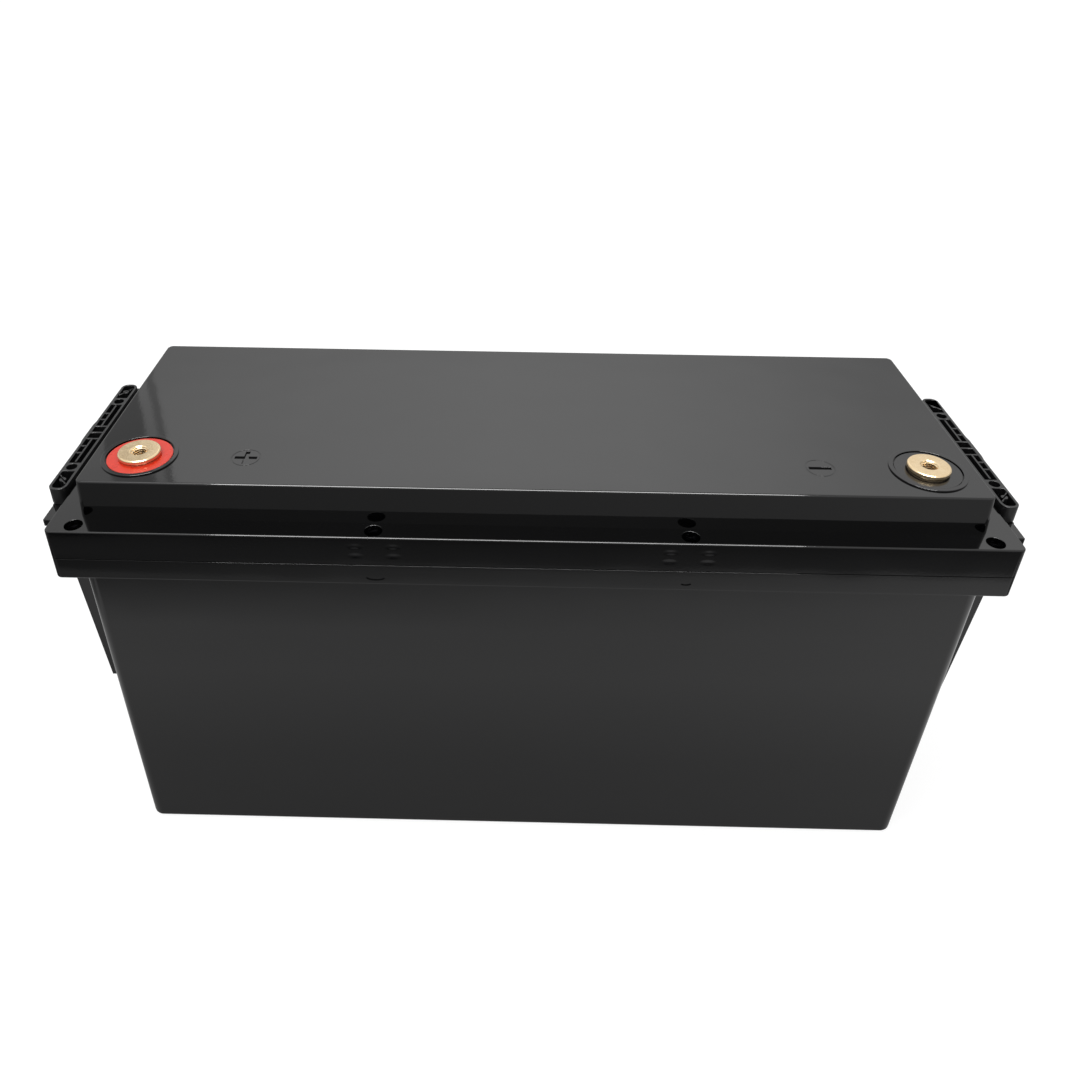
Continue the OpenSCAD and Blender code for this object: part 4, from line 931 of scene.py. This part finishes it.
camera.data.clip_start, camera.data.clip_end = 0.01, 50

white_table, tree, place = begin_material("white table")
glow = add(tree, "Emission", {"Color": linear("#ffffff"), "Strength": 0.8})
paint = add(tree, "BsdfDiffuse", {"Color": linear("#8c8c8c")})
mixed = add(tree, "AddShader", {0: glow.outputs[0], 1: paint.outputs[0]})
add(tree, "OutputMaterial", {"Surface": mixed.outputs[0]})
bm = bmesh.new()
bmesh.ops.create_grid(bm, x_segments=1, y_segments=1, size=6000)
floor = settle(bm, "floor")
floor.data.materials.append(white_table)


def only_in_gloss(thing):
    """Leaves a light or a card to be seen in reflections alone."""
    thing.visible_camera = thing.visible_diffuse = False
    thing.visible_shadow = thing.visible_transmission = False


def set_stops(ramp, stops):
    """Gives a ramp its greys, as pairs of place and grey."""
    while len(ramp.color_ramp.elements) < len(stops):
        ramp.color_ramp.elements.new(0.5)
    for element, (position, grey) in zip(ramp.color_ramp.elements, stops):
        element.position, element.color = position, (grey, grey, grey, 1)


# A grey card lies round the pack and shows only in its polish. It has darker bands further
# out, and it is lighter on the right.
grey_card, tree, place = begin_material("grey card")
axes = add(tree, "SeparateXYZ", {"Vector": place})
reach = []
for axis, half in (("X", flange_x), ("Y", flange_y)):
    size = add(tree, "Math", {0: axes.outputs[axis]}, operation="ABSOLUTE")
    reach.append(add(tree, "Math", {0: size.outputs[0], 1: half * MM}, operation="SUBTRACT"))
away = add(tree, "Math", {0: reach[0].outputs[0], 1: reach[1].outputs[0]}, operation="MAXIMUM")
stripes = []
for stops in (
        ((0.0, 0.30), (0.045, 0.37), (0.115, 0.54), (0.16, 0.55), (0.21, 0.20), (0.222, 0.26),
         (0.229, 0.09), (0.243, 0.09), (0.252, 0.14), (0.277, 0.11), (0.283, 0.01),
         (0.292, 0.02), (0.30, 0.20), (0.45, 0.24)),
        ((0.0, 0.38), (0.045, 0.46), (0.115, 0.68), (0.19, 0.74), (0.237, 0.64), (0.25, 0.20),
         (0.285, 0.10), (0.30, 0.42), (0.45, 0.44))):
    ramp = add(tree, "ValToRGB", {"Fac": away.outputs[0]})
    set_stops(ramp, stops)
    stripes.append(ramp)
rightwards = add(
    tree, "MapRange", {"Value": axes.outputs["X"], "From Min": -0.42, "From Max": 0.42})
card_tone = add(
    tree, "Mix",
    {0: rightwards.outputs["Result"], 6: stripes[0].outputs[0], 7: stripes[1].outputs[0]},
    data_type="RGBA")
shine = add(tree, "Emission", {"Color": card_tone.outputs[2]})
add(tree, "OutputMaterial", {"Surface": shine.outputs[0]})
bm = bmesh.new()
sheet = bmesh.ops.create_grid(bm, x_segments=1, y_segments=1, size=3000)["verts"]
bmesh.ops.translate(bm, vec=(0, 0, 0.5), verts=sheet)
card = settle(bm, "floor_card")
card.data.materials.append(grey_card)
only_in_gloss(card)

# Behind on the left the room is darker, with a doorway and its frame.
wall_y, wall_z = (1200, 1201), (300, 2000)
for number, (left, right_edge, strength) in enumerate((
        (-2600, -862, 0.85), (-862, -764, 0.50), (-764, -740, 0.95), (-740, -724, 0.62))):
    dim, tree, place = begin_material("room end %d" % number)
    shine = add(tree, "Emission", {"Color": linear("#ffffff"), "Strength": strength})
    add(tree, "OutputMaterial", {"Surface": shine.outputs[0]})
    bm = bmesh.new()
    block(bm, (left, right_edge), wall_y, wall_z)
    panel = settle(bm, "room_end_%d" % number)
    panel.data.materials.append(dim)
    only_in_gloss(panel)

# The room is brightest where the wall meets the ceiling, and dimmer to both sides.
world = bpy.data.worlds.new("room")
bpy.context.scene.world = world
world.use_nodes = True
tree = world.node_tree
way = add(tree, "SeparateXYZ", {"Vector": add(tree, "TexCoord").outputs["Generated"]})
sideways = add(tree, "MapRange", {"Value": way.outputs["X"], "From Min": -0.5, "From Max": 0.5})
strength = 2.0
for value, stops in (
        (way.outputs["Z"], (
            (0.0, 0.45), (0.41, 0.46), (0.48, 0.64), (0.57, 0.84), (0.66, 0.7), (1.0, 0.6))),
        (sideways.outputs[0], (
            (0.15, 0.82), (0.3, 0.92), (0.5, 1.0), (0.65, 0.98), (0.77, 0.89), (0.88, 0.75)))):
    ramp = add(tree, "ValToRGB", {"Fac": value})
    set_stops(ramp, stops)
    product = add(tree, "Math", {0: strength, 1: ramp.outputs["Color"]}, operation="MULTIPLY")
    strength = product.outputs[0]
backdrop = tree.nodes["Background"]
backdrop.inputs["Color"].default_value = linear("#ffffff")
tree.links.new(strength, backdrop.inputs["Strength"])


def lamp(name, place, size, energy):
    """An area light that faces the pack."""
    light = bpy.data.objects.new(name, bpy.data.lights.new(name, "AREA"))
    bpy.context.scene.collection.objects.link(light)
    light.data.shape, light.data.size, light.data.size_y = "RECTANGLE", *size
    light.data.energy = energy
    light.location = place
    towards = Vector((0, 0, 0.2)) - light.location
    light.rotation_euler = towards.to_track_quat("-Z", "Y").to_euler()
    return light


glint = lamp("softbox", (0.0, -0.75, 1.5), (1.2, 0.5), 40)
glint.visible_diffuse = False
lamp("overhead", (-0.5, -0.3, 1.8), (0.8, 0.8), 6)

bpy.context.scene.view_settings.view_transform = "Standard"
